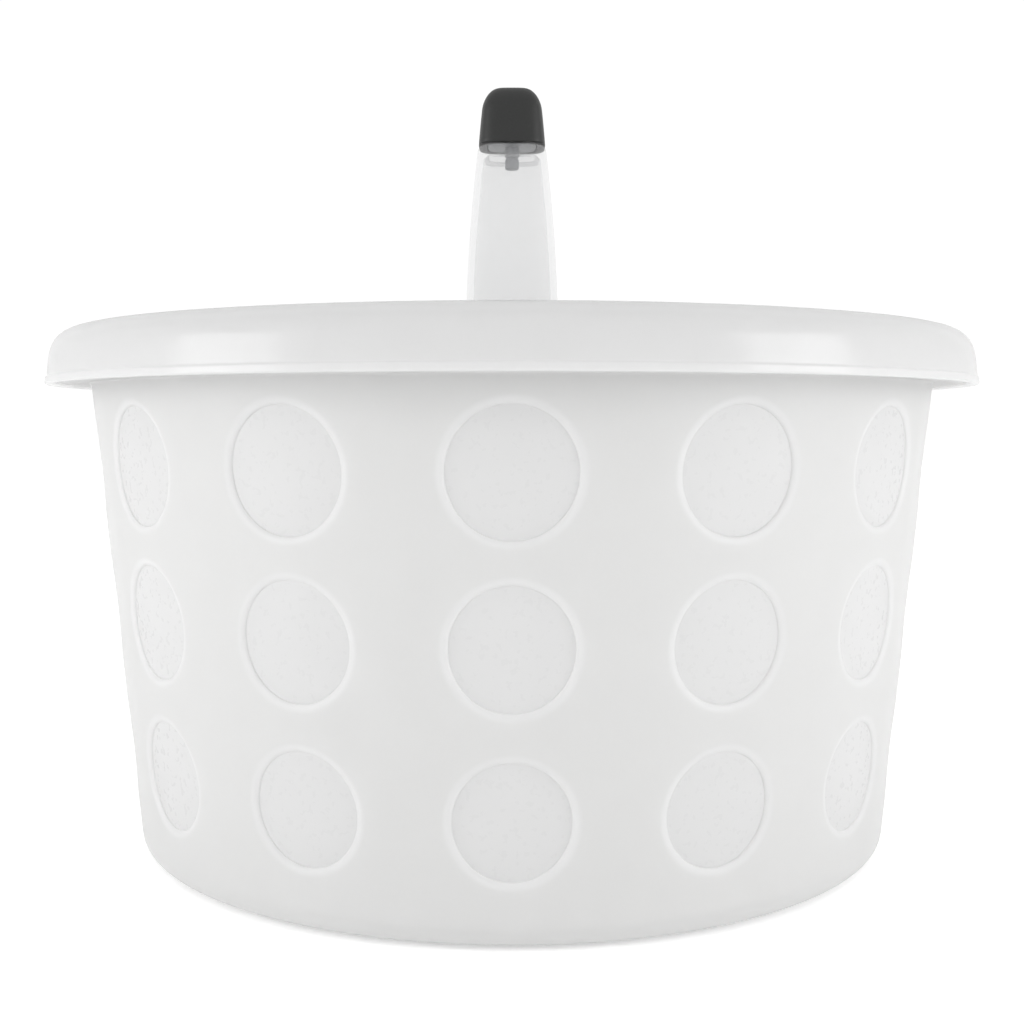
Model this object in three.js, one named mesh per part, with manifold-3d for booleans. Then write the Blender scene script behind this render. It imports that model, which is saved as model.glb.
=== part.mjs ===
// A pump-action salad spinner: a frosted bowl with round windows, a slotted basket that turns
// inside it, and a lid whose push handle drives the basket through a spiral rod and a ratchet.
// Millimetres, +Z up, origin at the middle of the foot ring's underside.

import * as THREE from "three";
import { mergeVertices } from "three/addons/utils/BufferGeometryUtils.js";
import Module from "manifold-3d";

const wasm = await Module();
wasm.setup();

// Clearances
const gap = 0.3; // between pieces that touch
const slideGap = 0.5; // around the handle in its collar

// Bowl
const bowlHeight = 128.7; // top of the rim flange
const bowlBaseRadius = 104.2;
const bowlMouthRadius = 118.4;
const bowlWall = 2.2;
const bowlFloor = 2.6;
const bowlCorner = 4;
const flangeWidth = 8.6; // how far the rim stands out from the wall
const flangeThickness = 2.2;
const footProud = 0.8; // how far the foot ring stands below the bowl
const footInset = 6.2; // bowl's base edge to the foot ring
const footWidth = 6;
const footDepth = 2;
const pivotBaseRadius = 6;
const pivotTopRadius = 4.5;
const pivotHeight = 13.5;

// Round windows moulded thin into the bowl's wall
const windowColumns = 14;
const windowRows = 3;
const windowLowDiameter = 26.5;
const windowHighDiameter = 29;
const windowLowMargin = 29.2; // base to the centre of the lowest row
const windowTopMargin = 23.4; // rim to the centre of the highest row
const windowDepth = 1;

// Basket
const basketSideGap = 9; // bowl's inner wall to the basket
const basketDrop = 12.7; // rim flange to the basket's top
const basketFloorHeight = 17.5;
const basketWall = 1.8;
const basketRimWidth = 4.8;
const basketRimThickness = 2.2;
const basketCorner = 6;
const wallSlots = 28;
const wallSlotWidth = 3.4;
const wallSlotMargin = 13; // from a slot's ends to the floor and to the rim
const floorSlots = 12;
const floorSlotWidth = 4;
const floorSlotInner = 22;
const floorSlotMargin = 15; // from a floor slot's outer end to the wall
const hubWall = 2;
const hubDepth = 9;
const bushWall = 1.8;

// Lid
const lidRise = 12.4; // rim flange to the top of the lid's shoulder
const lidSkirtDrop = 2.7; // how far the skirt hangs below the flange's top
const lidSkirtWidth = 3; // skirt's outer edge beyond the flange
const lidWall = 2;
const lidShoulderWidth = 11; // skirt's edge to the flat of the shoulder
const lidPlateDrop = 2.8; // shoulder down to the flat plate
const plugDepth = 17; // lid plate down to the end of the plug wall
const sealThickness = 2.2;
const sealHeight = 5;

// Push handle: a hollow post with a rounded-square section
const handleTopHalf = 9.9;
const handleBaseHalf = 13.5;
const handleTaperPower = 1.9;
const handleWall = 2;
const handleRise = 58; // lid plate to the top of the clear post
const handleShank = 9.5; // straight stretch below the lid plate
const handleFlangeWidth = 4.5;
const handleFlangeHeight = 3;
const handleTopPlate = 2.5;
const sectionPower = 4; // how square the section is: 2 is round
const stroke = 36;
const capHeight = 16.8;
const capInset = 0.2; // cap's edge inside the post's
const capLean = 1.6; // how much the cap narrows up to its crown
const capCrown = 0.38; // share of the cap's height that its crown takes
const capTopHalf = 4;
const capSkin = 2.4;
const pegRadius = 2.05;
const pegLength = 6.4;
const pegClearance = 0.4;

// Drive
const lead = 36; // handle travel for one turn of the rod
const rodSide = 7;
const twistSteps = 32; // levels in one turn of the rod
const rodClearance = 0.6;
const rodStand = 9; // rod above the nut at rest
const journalRadius = 4;
const nutHeight = 3;
const tubeWall = 2.2;
const tubeFloor = 2.5;
const springRoom = 58; // tube floor to the nut at rest
const springRadius = 10;
const springWire = 1.6;
const springTurns = 7;
const bearingWall = 2.2;
const bearingFlange = 1.2;
const shoulderHeight = 1.7;
const shoulderRadius = 6.2;
const washerHeight = 0.8;
const rotorHeight = 5.5;
const rotorHub = 8;
const pawlGap = 2.1; // a pawl's tip line to the ratchet's tooth tips
const pawls = 3;
const ratchetTeeth = 18;
const ratchetDepth = 2.2;
const ratchetWall = 2;

// Driver disc that turns the basket
const drumWall = 2;
const driverThickness = 2.2;
const ledgeThickness = 2.5;
const ringHeight = 3.2;
const ringWidth = 3.6;
const gripWidth = 3;
const gripHeight = 2;
const gripSink = 1; // depth of the grip ring's groove
const driverEdge = 1.5; // disc beyond the groove

// Top cover, screws, brake button and lock slider
const coverEdge = 2.5; // cover beyond the brake button
const coverRise = 4.5;
const coverWall = 2;
const tubeFlangeEdge = 0.6; // flange beyond the screw heads
const tubeFlangeHeight = 2;
const screws = 4;
const screwInset = 0.8; // tube's wall to a screw's head
const screwRadius = 1.6;
const screwHeadRadius = 2.9;
const screwHeadHeight = 1.7;
const screwClearance = 0.4;
const brakeInset = 2.5; // housing's flange to the brake button
const brakeRadius = 8.5;
const brakeTravel = 3;
const brakeProud = 3.5;
const brakeStem = 3;
const brakePadRadius = 5.5;
const brakePadHeight = 3;
const brakeSpringRadius = 5;
const brakeSpringWire = 0.7;
const lockTravel = 5;
const lockRoom = 1.2; // beside the leg at either end of its travel
const lockWidth = 6;
const lockThickness = 2;
const lockTongueHeight = 3;
const lockGrip = [14, 18, 3.2]; // thumb piece: along the slide, across it, high

// Heights and radii that follow from the sizes above
const bowlBase = footProud;
const wallAt = (z) => bowlBaseRadius + ((bowlMouthRadius - bowlBaseRadius) * z) / bowlHeight;
const flangeRadius = bowlMouthRadius + flangeWidth;
const basketTop = bowlHeight - basketDrop;
const basketAt = (z) => wallAt(z) - bowlWall - basketSideGap;
const lidTop = bowlHeight + lidRise;
const plateTop = lidTop - lidPlateDrop;
const plateUnder = plateTop - lidWall;
const handleTop = plateTop + handleRise;
const flangeTop = plateUnder - gap - handleShank + handleFlangeHeight;
const flangeUnder = flangeTop - handleFlangeHeight;
const flangeReach = handleBaseHalf + handleFlangeWidth;
const tubeBore = flangeReach + 2 * gap;
const tubeRadius = tubeBore + tubeWall;
const nutTop = flangeTop;
const nutUnder = nutTop - nutHeight;
const tubeFloorTop = nutUnder - springRoom;
const tubeFloorUnder = tubeFloorTop - tubeFloor;
const coverTop = plateTop + coverRise;
const lidSkirtRadius = flangeRadius + lidSkirtWidth;
const lidSkirtUnder = bowlHeight - lidSkirtDrop;
const driverUnder = basketTop + gap + gripHeight - gripSink;
const driverTop = driverUnder + driverThickness;
const rotorTop = tubeFloorUnder - 2 * gap - washerHeight;
const rotorUnder = rotorTop - rotorHeight;
const drumUnder = rotorUnder - gap - ratchetWall;
const ringTop = tubeFloorUnder + tubeFloor + ringHeight;
const ledgeUnder = ringTop + gap;
const screwCircle = tubeRadius + screwInset + screwHeadRadius;
const tubeFlangeRadius = screwCircle + screwHeadRadius + tubeFlangeEdge;
const brakeCentre = tubeFlangeRadius + brakeInset + brakeRadius;
const coverRadius = brakeCentre + brakeRadius + coverEdge;
const lockLegInner = tubeRadius + lockRoom + lockTravel;
const lockLegOuter = lockLegInner + lockThickness;
const lockTongueUnder = flangeTop - stroke + 2 * gap;
const drumRadius = lockLegOuter + lockRoom; // inside
const drumLow = drumUnder + ratchetWall + gap;
const toothTip = drumRadius - gap - ratchetWall - ratchetDepth;
const rotorReach = toothTip - pawlGap;
const gripRadius = basketAt(basketTop) - basketWall + 2 * gap;
const footRadius = bowlBaseRadius - footInset - footWidth;
const floorSlotOuter = basketAt(basketFloorHeight) - floorSlotMargin;

// Sides of round pieces and of the handle's section, and steps in one turn of a spring
const round = { bowl: 42, lid: 48, driver: 40, hub: 28, small: 14, window: 12, post: 24, coil: 9 };

// Material shared by the pieces of one finish
function finish(color, roughness, metalness = 0) {
  return new THREE.MeshStandardMaterial({ color, roughness, metalness });
}
const frosted = finish(0xe9e9e7, 0.45);
const clear = finish(0xe4e6e8, 0.25);
const soft = finish(0x3a3b3c, 0.8);
const grey = finish(0x7c8084, 0.5);
const white = finish(0xf1f1ef, 0.4);
const steel = finish(0xb9bcc0, 0.3, 0.9);
const rubber = finish(0xd9dadb, 0.85);

// A geometry as a manifold solid
function solid(geometry) {
  const bare = geometry.index ? geometry.toNonIndexed() : geometry.clone();
  bare.deleteAttribute("normal");
  bare.deleteAttribute("uv");
  const merged = mergeVertices(bare, 1e-4);
  return new wasm.Manifold(
    new wasm.Mesh({
      numProp: 3,
      vertProperties: merged.attributes.position.array,
      triVerts: new Uint32Array(merged.index.array),
    }),
  );
}

// A manifold solid as a geometry
function geometryOf(made) {
  const mesh = made.getMesh();
  const geometry = new THREE.BufferGeometry();
  const position = new THREE.BufferAttribute(mesh.vertProperties, 3);
  geometry.setAttribute("position", position);
  geometry.setIndex(new THREE.BufferAttribute(mesh.triVerts, 1));
  geometry.computeVertexNormals();
  return geometry;
}

const union = (list) => list.reduce((all, next) => all.add(next));

// Turns a closed outline of [radius, height] points about Z. The outline runs anticlockwise
// with the radius to the right and the height up.
function turned(outline, sides) {
  const points = outline.map(([r, z]) => new THREE.Vector2(r, z));
  const onAxis = outline[0][0] === 0 && outline.at(-1)[0] === 0;
  if (!onAxis) points.push(points[0].clone());
  const lathe = new THREE.LatheGeometry(points, sides);
  lathe.rotateX(Math.PI / 2);
  return solid(lathe);
}

const ring = (inner, outer, low, high, sides) =>
  turned([[inner, low], [outer, low], [outer, high], [inner, high]], sides);

const disc = (radius, low, high, sides) =>
  turned([[0, low], [radius, low], [radius, high], [0, high]], sides);

// Points of a circular arc in the outline's plane, angles in degrees
function arc(r, z, radius, from, to, steps) {
  return Array.from({ length: steps + 1 }, (_, i) => {
    const angle = THREE.MathUtils.degToRad(from + ((to - from) * i) / steps);
    return [r + radius * Math.cos(angle), z + radius * Math.sin(angle)];
  });
}

function box(x0, x1, y0, y1, z0, z1) {
  const made = new THREE.BoxGeometry(x1 - x0, y1 - y0, z1 - z0);
  made.translate((x0 + x1) / 2, (y0 + y1) / 2, (z0 + z1) / 2);
  return solid(made);
}

// Copies of a solid placed evenly round Z
function around(made, count, phase = 0) {
  const copies = Array.from({ length: count }, (_, i) => made.rotate([0, 0, phase + (360 * i) / count]));
  return union(copies);
}

// Rounded square of a given half width: |x|^p + |y|^p = half^p
function section(half) {
  return Array.from({ length: round.post }, (_, i) => {
    const angle = (2 * Math.PI * (i + 0.5)) / round.post;
    const [c, s] = [Math.cos(angle), Math.sin(angle)];
    const reach = half / (Math.abs(c) ** sectionPower + Math.abs(s) ** sectionPower) ** (1 / sectionPower);
    return [reach * c, reach * s];
  });
}

// A solid through a stack of outlines with equal numbers of points, each with its own height
function stacked(layers) {
  const sides = layers[0].outline.length;
  const position = layers.flatMap(({ outline, z }) => outline.flatMap(([x, y]) => [x, y, z]));
  const index = [];
  for (let level = 0; level + 1 < layers.length; level++)
    for (let i = 0; i < sides; i++) {
      const a = level * sides + i;
      const b = level * sides + ((i + 1) % sides);
      index.push(a, b, b + sides, a, b + sides, a + sides);
    }
  const top = (layers.length - 1) * sides;
  for (let i = 1; i + 1 < sides; i++) index.push(0, i + 1, i, top, top + i, top + i + 1);
  const geometry = new THREE.BufferGeometry();
  geometry.setAttribute("position", new THREE.Float32BufferAttribute(position, 3));
  geometry.setIndex(index);
  return solid(geometry);
}

const post = (half, low, high) =>
  stacked([
    { outline: section(half), z: low },
    { outline: section(half), z: high },
  ]);

// A square bar twisted one turn in each lead, its faces in step with height wherever it is cut
function twistedBar(side, low, high) {
  const layers = Math.ceil((high - low) / (lead / twistSteps));
  return stacked(
    Array.from({ length: layers + 1 }, (_, i) => {
      const z = low + ((high - low) * i) / layers;
      const turn = (2 * Math.PI * z) / lead;
      const outline = [1, 3, 5, 7].map((k) => {
        const angle = turn + (k * Math.PI) / 4;
        return [(side / Math.SQRT2) * Math.cos(angle), (side / Math.SQRT2) * Math.sin(angle)];
      });
      return { outline, z };
    }),
  );
}

class Helix extends THREE.Curve {
  constructor(radius, low, high, turns) {
    super();
    Object.assign(this, { radius, low, high, turns });
  }
  getPoint(t, target = new THREE.Vector3()) {
    const angle = 2 * Math.PI * this.turns * t;
    const z = this.low + (this.high - this.low) * t;
    return target.set(this.radius * Math.cos(angle), this.radius * Math.sin(angle), z);
  }
}

function coilSpring(radius, wire, low, high, turns) {
  const outline = new THREE.Shape(
    Array.from({ length: 5 }, (_, i) => {
      const angle = (2 * Math.PI * i) / 5;
      return new THREE.Vector2((wire / 2) * Math.cos(angle), (wire / 2) * Math.sin(angle));
    }),
  );
  const extrudePath = new Helix(radius, low + wire / 2, high - wire / 2, turns);
  const steps = Math.round(turns * round.coil);
  return solid(new THREE.ExtrudeGeometry(outline, { steps, extrudePath }));
}

// Bowl: tapered wall with a rolled flange, a moulded pivot and a groove for the foot ring
function outerBowl() {
  const inner = (z) => wallAt(z) - bowlWall;
  const floorTop = bowlBase + bowlFloor;
  const flangeUnderside = bowlHeight - flangeThickness;
  const corner = wallAt(bowlBase + bowlCorner) - bowlCorner;
  const shell = turned(
    [
      [0, bowlBase],
      ...arc(corner, bowlBase + bowlCorner, bowlCorner, -90, 0, 3),
      [wallAt(flangeUnderside), flangeUnderside],
      [flangeRadius, flangeUnderside],
      [flangeRadius, bowlHeight],
      [inner(bowlHeight), bowlHeight],
      ...arc(inner(floorTop + bowlCorner) - bowlCorner, floorTop + bowlCorner, bowlCorner, 0, -90, 3),
      [pivotBaseRadius, floorTop],
      [pivotTopRadius, floorTop + pivotHeight],
      [0, floorTop + pivotHeight],
    ],
    round.bowl,
  );
  const skin = turned(
    [
      [wallAt(0) - windowDepth, 0],
      [wallAt(0) + bowlWall, 0],
      [wallAt(bowlHeight) + bowlWall, bowlHeight],
      [wallAt(bowlHeight) - windowDepth, bowlHeight],
    ],
    round.bowl,
  );
  const rowPitch = (bowlHeight - windowLowMargin - windowTopMargin) / (windowRows - 1);
  const diameterStep = (windowHighDiameter - windowLowDiameter) / (windowRows - 1);
  const rows = Array.from({ length: windowRows }, (_, row) => {
    const z = windowLowMargin + row * rowPitch;
    const radius = (windowLowDiameter + row * diameterStep) / 2;
    const plug = new THREE.CylinderGeometry(radius, radius, 8 * bowlWall, round.window);
    plug.translate(0, -wallAt(z), 0);
    plug.translate(0, 0, z);
    return around(solid(plug), windowColumns);
  });
  const groove = ring(footRadius - gap, footRadius + footWidth + gap, 0, footDepth, round.bowl);
  return shell.subtract(union(rows).intersect(skin)).subtract(groove);
}

const footRing = () => ring(footRadius, footRadius + footWidth, 0, footDepth - gap, round.bowl);

const pivotTop = bowlBase + bowlFloor + pivotHeight;
const bushRadius = pivotBaseRadius + gap + bushWall;
const hubRadius = bushRadius + gap;

// Bearing cap that stands on the bowl's pivot and carries the basket
function pivotBush() {
  const top = basketFloorHeight - gap;
  const low = basketFloorHeight - hubDepth + 2 * gap;
  const body = disc(bushRadius, low, top, round.small);
  const floorTop = bowlBase + bowlFloor;
  const bore = turned(
    [
      [0, floorTop],
      [pivotBaseRadius + gap, floorTop],
      [pivotTopRadius + gap, pivotTop + gap],
      [0, pivotTop + gap],
    ],
    round.small,
  );
  return body.subtract(bore);
}

// Basket: slotted wall and floor, turned-out rim, and a hub under the floor
function innerBasket() {
  const floorTop = basketFloorHeight + basketWall;
  const hubLow = basketFloorHeight - hubDepth;
  const outer = basketAt(basketFloorHeight + basketCorner) - basketCorner;
  const inner = basketAt(floorTop + basketCorner) - basketWall - basketCorner;
  const rimLow = basketTop - basketRimThickness;
  const rimInner = basketAt(basketTop) - basketWall;
  const shell = turned(
    [
      [hubRadius, hubLow],
      [hubRadius + hubWall, hubLow],
      [hubRadius + hubWall, basketFloorHeight],
      ...arc(outer, basketFloorHeight + basketCorner, basketCorner, -90, 0, 3),
      [basketAt(rimLow), rimLow],
      [rimInner + basketRimWidth, rimLow],
      [rimInner + basketRimWidth, basketTop],
      [rimInner, basketTop],
      ...arc(inner, floorTop + basketCorner, basketCorner, 0, -90, 3),
      [0, floorTop],
      [0, basketFloorHeight],
      [hubRadius, basketFloorHeight],
    ],
    2 * wallSlots,
  );
  const slotLow = basketFloorHeight + wallSlotMargin;
  const slotHigh = basketTop - wallSlotMargin;
  const reach = basketAt(basketTop);
  const half = wallSlotWidth / 2;
  const wallSlot = box(basketAt(basketFloorHeight) / 2, reach, -half, half, slotLow, slotHigh);
  const halfFloor = floorSlotWidth / 2;
  const under = basketFloorHeight - basketWall;
  const floorCut = (from, to) => box(from, to, -halfFloor, halfFloor, under, floorTop + basketWall);
  const middle = (floorSlotInner + floorSlotOuter) / 2;
  const long = around(floorCut(floorSlotInner, floorSlotOuter), floorSlots);
  const short = around(floorCut(middle, floorSlotOuter), floorSlots, 180 / floorSlots);
  return shell
    .subtract(around(wallSlot, wallSlots, 180 / wallSlots / 2))
    .subtract(long)
    .subtract(short);
}

// Lid: flared skirt, rounded shoulder, flat plate, and a plug wall that carries the seal
const plugUnder = plateUnder - plugDepth;
const sealRadius = wallAt(plugUnder) - bowlWall - 1.5 * gap;
const plugRadius = sealRadius - sealThickness;
function lidShell() {
  const shoulder = lidSkirtRadius - lidShoulderWidth;
  const restRadius = bowlMouthRadius + flangeWidth / 2;
  const rest = bowlHeight + gap;
  const shoulderUnder = lidTop - lidWall;
  const body = turned(
    [
      [lidSkirtRadius - lidWall, lidSkirtUnder],
      [lidSkirtRadius, lidSkirtUnder],
      [lidSkirtRadius - 0.4, lidSkirtUnder + 4],
      [lidSkirtRadius - 1.6, lidSkirtUnder + 9.6],
      [lidSkirtRadius - 3.4, lidSkirtUnder + 12.4],
      [lidSkirtRadius - 5, lidTop - 2],
      [lidSkirtRadius - 6.6, lidTop - 1],
      [lidSkirtRadius - 8.4, lidTop - 0.3],
      [shoulder, lidTop],
      [shoulder - 3, lidTop - 0.4],
      [shoulder - 6, plateTop + 0.5],
      [shoulder - 9, plateTop],
      [tubeBore, plateTop],
      [tubeBore, plateUnder],
      [plugRadius - lidWall, plateUnder],
      [plugRadius - lidWall, plugUnder],
      [plugRadius, plugUnder],
      [plugRadius, plateUnder],
      [restRadius - lidWall, shoulderUnder - 1],
      [restRadius - lidWall, rest],
      [restRadius, rest],
      [restRadius, shoulderUnder - 1.5],
      [lidSkirtRadius - 5.4, lidSkirtUnder + 10],
      [lidSkirtRadius - 2.5, lidSkirtUnder + 4],
    ],
    round.lid,
  );
  const slot = lockTravel + lockThickness + 2 * slideGap;
  const lockSlot = box(
    lockLegInner - lockTravel - slideGap,
    lockLegInner - lockTravel - slideGap + slot,
    -lockWidth / 2 - slideGap,
    lockWidth / 2 + slideGap,
    plateUnder - 1,
    plateTop + 1,
  );
  const stemHole = disc(brakeStem + slideGap, plateUnder - 1, plateTop + 1, round.small);
  const screwHole = disc(screwRadius + screwClearance, plateUnder - 1, plateTop + 1, 12);
  return body
    .subtract(lockSlot)
    .subtract(stemHole.translate([-brakeCentre, 0, 0]))
    .subtract(around(screwHole.translate([screwCircle, 0, 0]), screws, 180 / screws));
}

// Soft ring round the plug wall, with two lips towards the bowl
function lidSeal() {
  const inner = plugRadius + gap;
  const outer = sealRadius;
  const high = plugUnder + sealHeight + gap;
  const low = plugUnder + gap;
  const waist = outer - sealThickness / 3;
  return turned(
    [
      [inner, low],
      [outer, low],
      [outer, low + 1],
      [waist, (low + high) / 2],
      [outer, high - 1],
      [outer, high],
      [inner, high],
    ],
    round.lid,
  );
}

// Tube under the lid that guides the handle's flange and carries the drive
function mechanismHousing() {
  const top = plateUnder - gap;
  const tube = turned(
    [
      [bearingBore, tubeFloorUnder],
      [tubeRadius, tubeFloorUnder],
      [tubeRadius, top - tubeFlangeHeight],
      [tubeFlangeRadius, top - tubeFlangeHeight],
      [tubeFlangeRadius, top],
      [tubeBore, top],
      [tubeBore, tubeFloorTop],
      [bearingBore, tubeFloorTop],
    ],
    round.hub,
  );
  const tongue = lockTongueUnder - slideGap;
  const window = box(
    0,
    tubeRadius + 1,
    -lockWidth / 2 - slideGap,
    lockWidth / 2 + slideGap,
    tongue,
    tongue + lockTongueHeight + 2 * slideGap,
  );
  const legSlot = box(
    lockLegInner - lockTravel - slideGap,
    tubeFlangeRadius + lockThickness,
    -lockWidth / 2 - slideGap,
    lockWidth / 2 + slideGap,
    top - tubeFlangeHeight - 1,
    top + 1,
  );
  const screwHole = disc(screwRadius + screwClearance, top - tubeFlangeHeight - 1, top + 1, 12);
  return tube
    .subtract(window)
    .subtract(legSlot)
    .subtract(around(screwHole.translate([screwCircle, 0, 0]), screws, 180 / screws));
}

// Cover on top of the lid, with the collar that guides the handle
function topCover() {
  const low = plateTop + gap;
  const sleeve = tubeBore - gap;
  const shell = turned(
    [
      [sleeve - 6, flangeTop + gap],
      [sleeve, flangeTop + gap],
      [sleeve, coverTop - coverWall],
      [coverRadius - 6, coverTop - coverWall],
      [coverRadius - coverWall, low],
      [coverRadius, low],
      [coverRadius - 1, coverTop - 1.6],
      [coverRadius - 3, coverTop - 0.4],
      [coverRadius - 6, coverTop],
      [sleeve - 6, coverTop],
    ],
    round.driver,
  );
  const boss = disc(screwHeadRadius, low, coverTop - coverWall / 2, 12);
  const pilot = disc(screwRadius + gap / 2, low - 1, coverTop - coverWall, 12);
  const place = [screwCircle, 0, 0];
  const button = disc(brakeRadius + slideGap, low - 1, coverTop + 1, round.small);
  const lockSlot = box(
    lockLegInner - lockTravel - slideGap,
    lockLegInner + lockThickness + slideGap,
    -lockWidth / 2 - slideGap,
    lockWidth / 2 + slideGap,
    low - 1,
    coverTop + 1,
  );
  return shell
    .add(around(boss.translate(place), screws, 180 / screws))
    .subtract(around(pilot.translate(place), screws, 180 / screws))
    .subtract(post(handleBaseHalf + slideGap, flangeTop - 1, coverTop + 1))
    .subtract(button.translate([-brakeCentre, 0, 0]))
    .subtract(lockSlot);
}

// Screw driven up through the housing's flange and the lid plate into the cover
function coverScrew() {
  const headTop = plateUnder - gap - tubeFlangeHeight - gap;
  const head = disc(screwHeadRadius, headTop - screwHeadHeight, headTop, 12);
  const shank = disc(screwRadius, headTop - 0.1, coverTop - coverWall - gap, 12);
  const headUnder = headTop - screwHeadHeight;
  const recess = box(-1.8, 1.8, -0.4, 0.4, headUnder - 1, headUnder + 0.9);
  return head.add(shank).subtract(recess.add(recess.rotate([0, 0, 90])));
}

// Flanged bush in the housing's floor
const bearingRadius = journalRadius + gap + bearingWall;
const bearingBore = bearingRadius + gap;
const bearingTop = tubeFloorTop + gap + bearingFlange;
function spindleBearing() {
  const bore = journalRadius + gap;
  return turned(
    [
      [bore, tubeFloorUnder],
      [bearingRadius, tubeFloorUnder],
      [bearingRadius, tubeFloorTop + gap],
      [springRadius - springWire, tubeFloorTop + gap],
      [springRadius - springWire, bearingTop],
      [bore, bearingTop],
    ],
    round.small,
  );
}

// Ring on the housing that holds the driver up
function retainerRing() {
  const inner = tubeRadius + gap;
  const low = tubeFloorUnder + tubeFloor / 2;
  return ring(inner, inner + ringWidth + 0.5, low, ringTop, round.hub);
}

const halfAt = (z) => {
  const rise = THREE.MathUtils.clamp((z - plateTop) / handleRise, 0, 1);
  return handleBaseHalf - (handleBaseHalf - handleTopHalf) * rise ** handleTaperPower;
};

// Hollow post: tapered above the lid, straight below it, with a round stop flange
function pumpHandle() {
  const levels = Array.from({ length: 7 }, (_, i) => plateTop + (handleRise * i) / 6);
  const heights = [flangeUnder, ...levels];
  const outside = stacked(heights.map((z) => ({ outline: section(halfAt(z)), z })));
  const under = handleTop - handleTopPlate;
  const hollow = [flangeUnder - 1, ...levels.slice(0, -1), under];
  const inside = stacked(hollow.map((z) => ({ outline: section(halfAt(z) - handleWall), z })));
  const flange = disc(flangeReach, flangeUnder, flangeTop, round.hub);
  const hole = disc(pegRadius + pegClearance, under - 1, handleTop + 1, round.small);
  return outside.add(flange).subtract(inside).subtract(hole);
}

// Half width of the cap at a share of its height, with a rounded top edge
function capHalf(share) {
  const lean = handleTopHalf - capInset - capLean * share ** 1.2;
  const over = Math.max(0, share - (1 - capCrown)) / capCrown;
  return lean - (lean - capTopHalf) * (1 - Math.sqrt(Math.max(0, 1 - over ** 2)));
}

// Soft cap over the top of the post
function gripCap() {
  const low = handleTop + gap;
  const shares = [0, 0.3, 0.62, 0.76, 0.86, 0.93, 0.97, 0.992, 1];
  const outside = stacked(
    shares.map((share) => ({ outline: section(capHalf(share)), z: low + share * capHeight })),
  );
  const core = post(handleTopHalf - capInset - capSkin, low - 1, low + capHeight - 2 * capSkin);
  return outside.subtract(core);
}

// Hard core of the cap, with the peg that goes down through the post's top plate
function capCore() {
  const low = handleTop + gap;
  const half = handleTopHalf - capInset - capSkin - gap;
  const body = post(half, low, low + capHeight - 2 * capSkin - gap);
  const peg = turned(
    [
      [0, low - pegLength],
      [pegRadius - 0.5, low - pegLength],
      [pegRadius, low - pegLength + 0.6],
      [pegRadius, low + 1],
      [0, low + 1],
    ],
    round.small,
  );
  return body.add(peg);
}

// Nut in the foot of the handle, its hole twisted like the rod
function driveNut() {
  const body = post(handleBaseHalf - handleWall - gap, nutUnder, nutTop);
  const bore = twistedBar(rodSide + 2 * rodClearance, nutUnder - lead / twistSteps, nutTop + lead / twistSteps);
  return body.subtract(bore);
}

// Twisted rod with a round journal below
function spiralRod() {
  const twistLow = bearingTop + gap + shoulderHeight;
  const bar = twistedBar(rodSide, twistLow - 0.5, nutTop + rodStand);
  const shoulder = disc(shoulderRadius, bearingTop + gap, twistLow, round.small);
  const journal = disc(journalRadius, rotorUnder, bearingTop + gap + 0.5, round.small);
  return bar.add(shoulder).add(journal);
}

// Rotor on the rod's lower end, with springy pawls that catch the ratchet one way
function clutchRotor() {
  const hub = disc(rotorHub, rotorUnder, rotorTop, round.small);
  const arm = Array.from({ length: 9 }, (_, i) => {
    const share = i / 8;
    const angle = share * 1.75;
    const reach = rotorHub - 1 + (rotorReach - rotorHub + 1) * share;
    return { x: reach * Math.cos(angle), y: reach * Math.sin(angle), half: 1.3 - 0.4 * share };
  });
  const side = (sign) =>
    arm.map(({ x, y, half }) => {
      const length = Math.hypot(x, y);
      return new THREE.Vector2(x + (sign * half * x) / length, y + (sign * half * y) / length);
    });
  const outline = new THREE.Shape([...side(1), ...side(-1).reverse()]);
  const pawl = new THREE.ExtrudeGeometry(outline, { depth: rotorHeight - 1, bevelEnabled: false });
  pawl.translate(0, 0, rotorUnder + 0.5);
  const bore = disc(journalRadius + gap, rotorUnder - 1, rotorTop + 1, round.small);
  return hub.add(around(solid(pawl), pawls)).subtract(bore);
}

function thrustWasher() {
  const low = rotorTop + gap;
  return ring(journalRadius + gap, bearingRadius + 1.5, low, low + washerHeight, round.small);
}

// Disc that closes the basket, with the drum that hangs round the housing
function driverDisc() {
  const outer = drumRadius + drumWall;
  const gripInner = gripRadius - gap;
  const gripOuter = gripRadius + gripWidth + gap;
  const edge = gripOuter + driverEdge;
  const grooveTop = driverUnder + gripSink;
  const ledgeInner = tubeRadius + 2 * gap;
  return turned(
    [
      [ledgeInner, ledgeUnder],
      [drumRadius, ledgeUnder],
      [drumRadius, drumLow],
      [outer, drumLow],
      [outer, driverUnder - 4],
      [outer + 4, driverUnder],
      [gripInner, driverUnder],
      [gripInner, grooveTop],
      [gripOuter, grooveTop],
      [gripOuter, driverUnder],
      [edge, driverUnder],
      [edge, driverTop],
      [outer + 3, driverTop],
      [drumRadius, driverTop - 1],
      [drumRadius, ledgeUnder + ledgeThickness],
      [ledgeInner, ledgeUnder + ledgeThickness],
    ],
    round.driver,
  );
}

// Rubber ring that meets the basket's rim
function gripRing() {
  const low = basketTop + gap;
  return ring(gripRadius, gripRadius + gripWidth, low, low + gripHeight - gap, round.driver);
}

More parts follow.
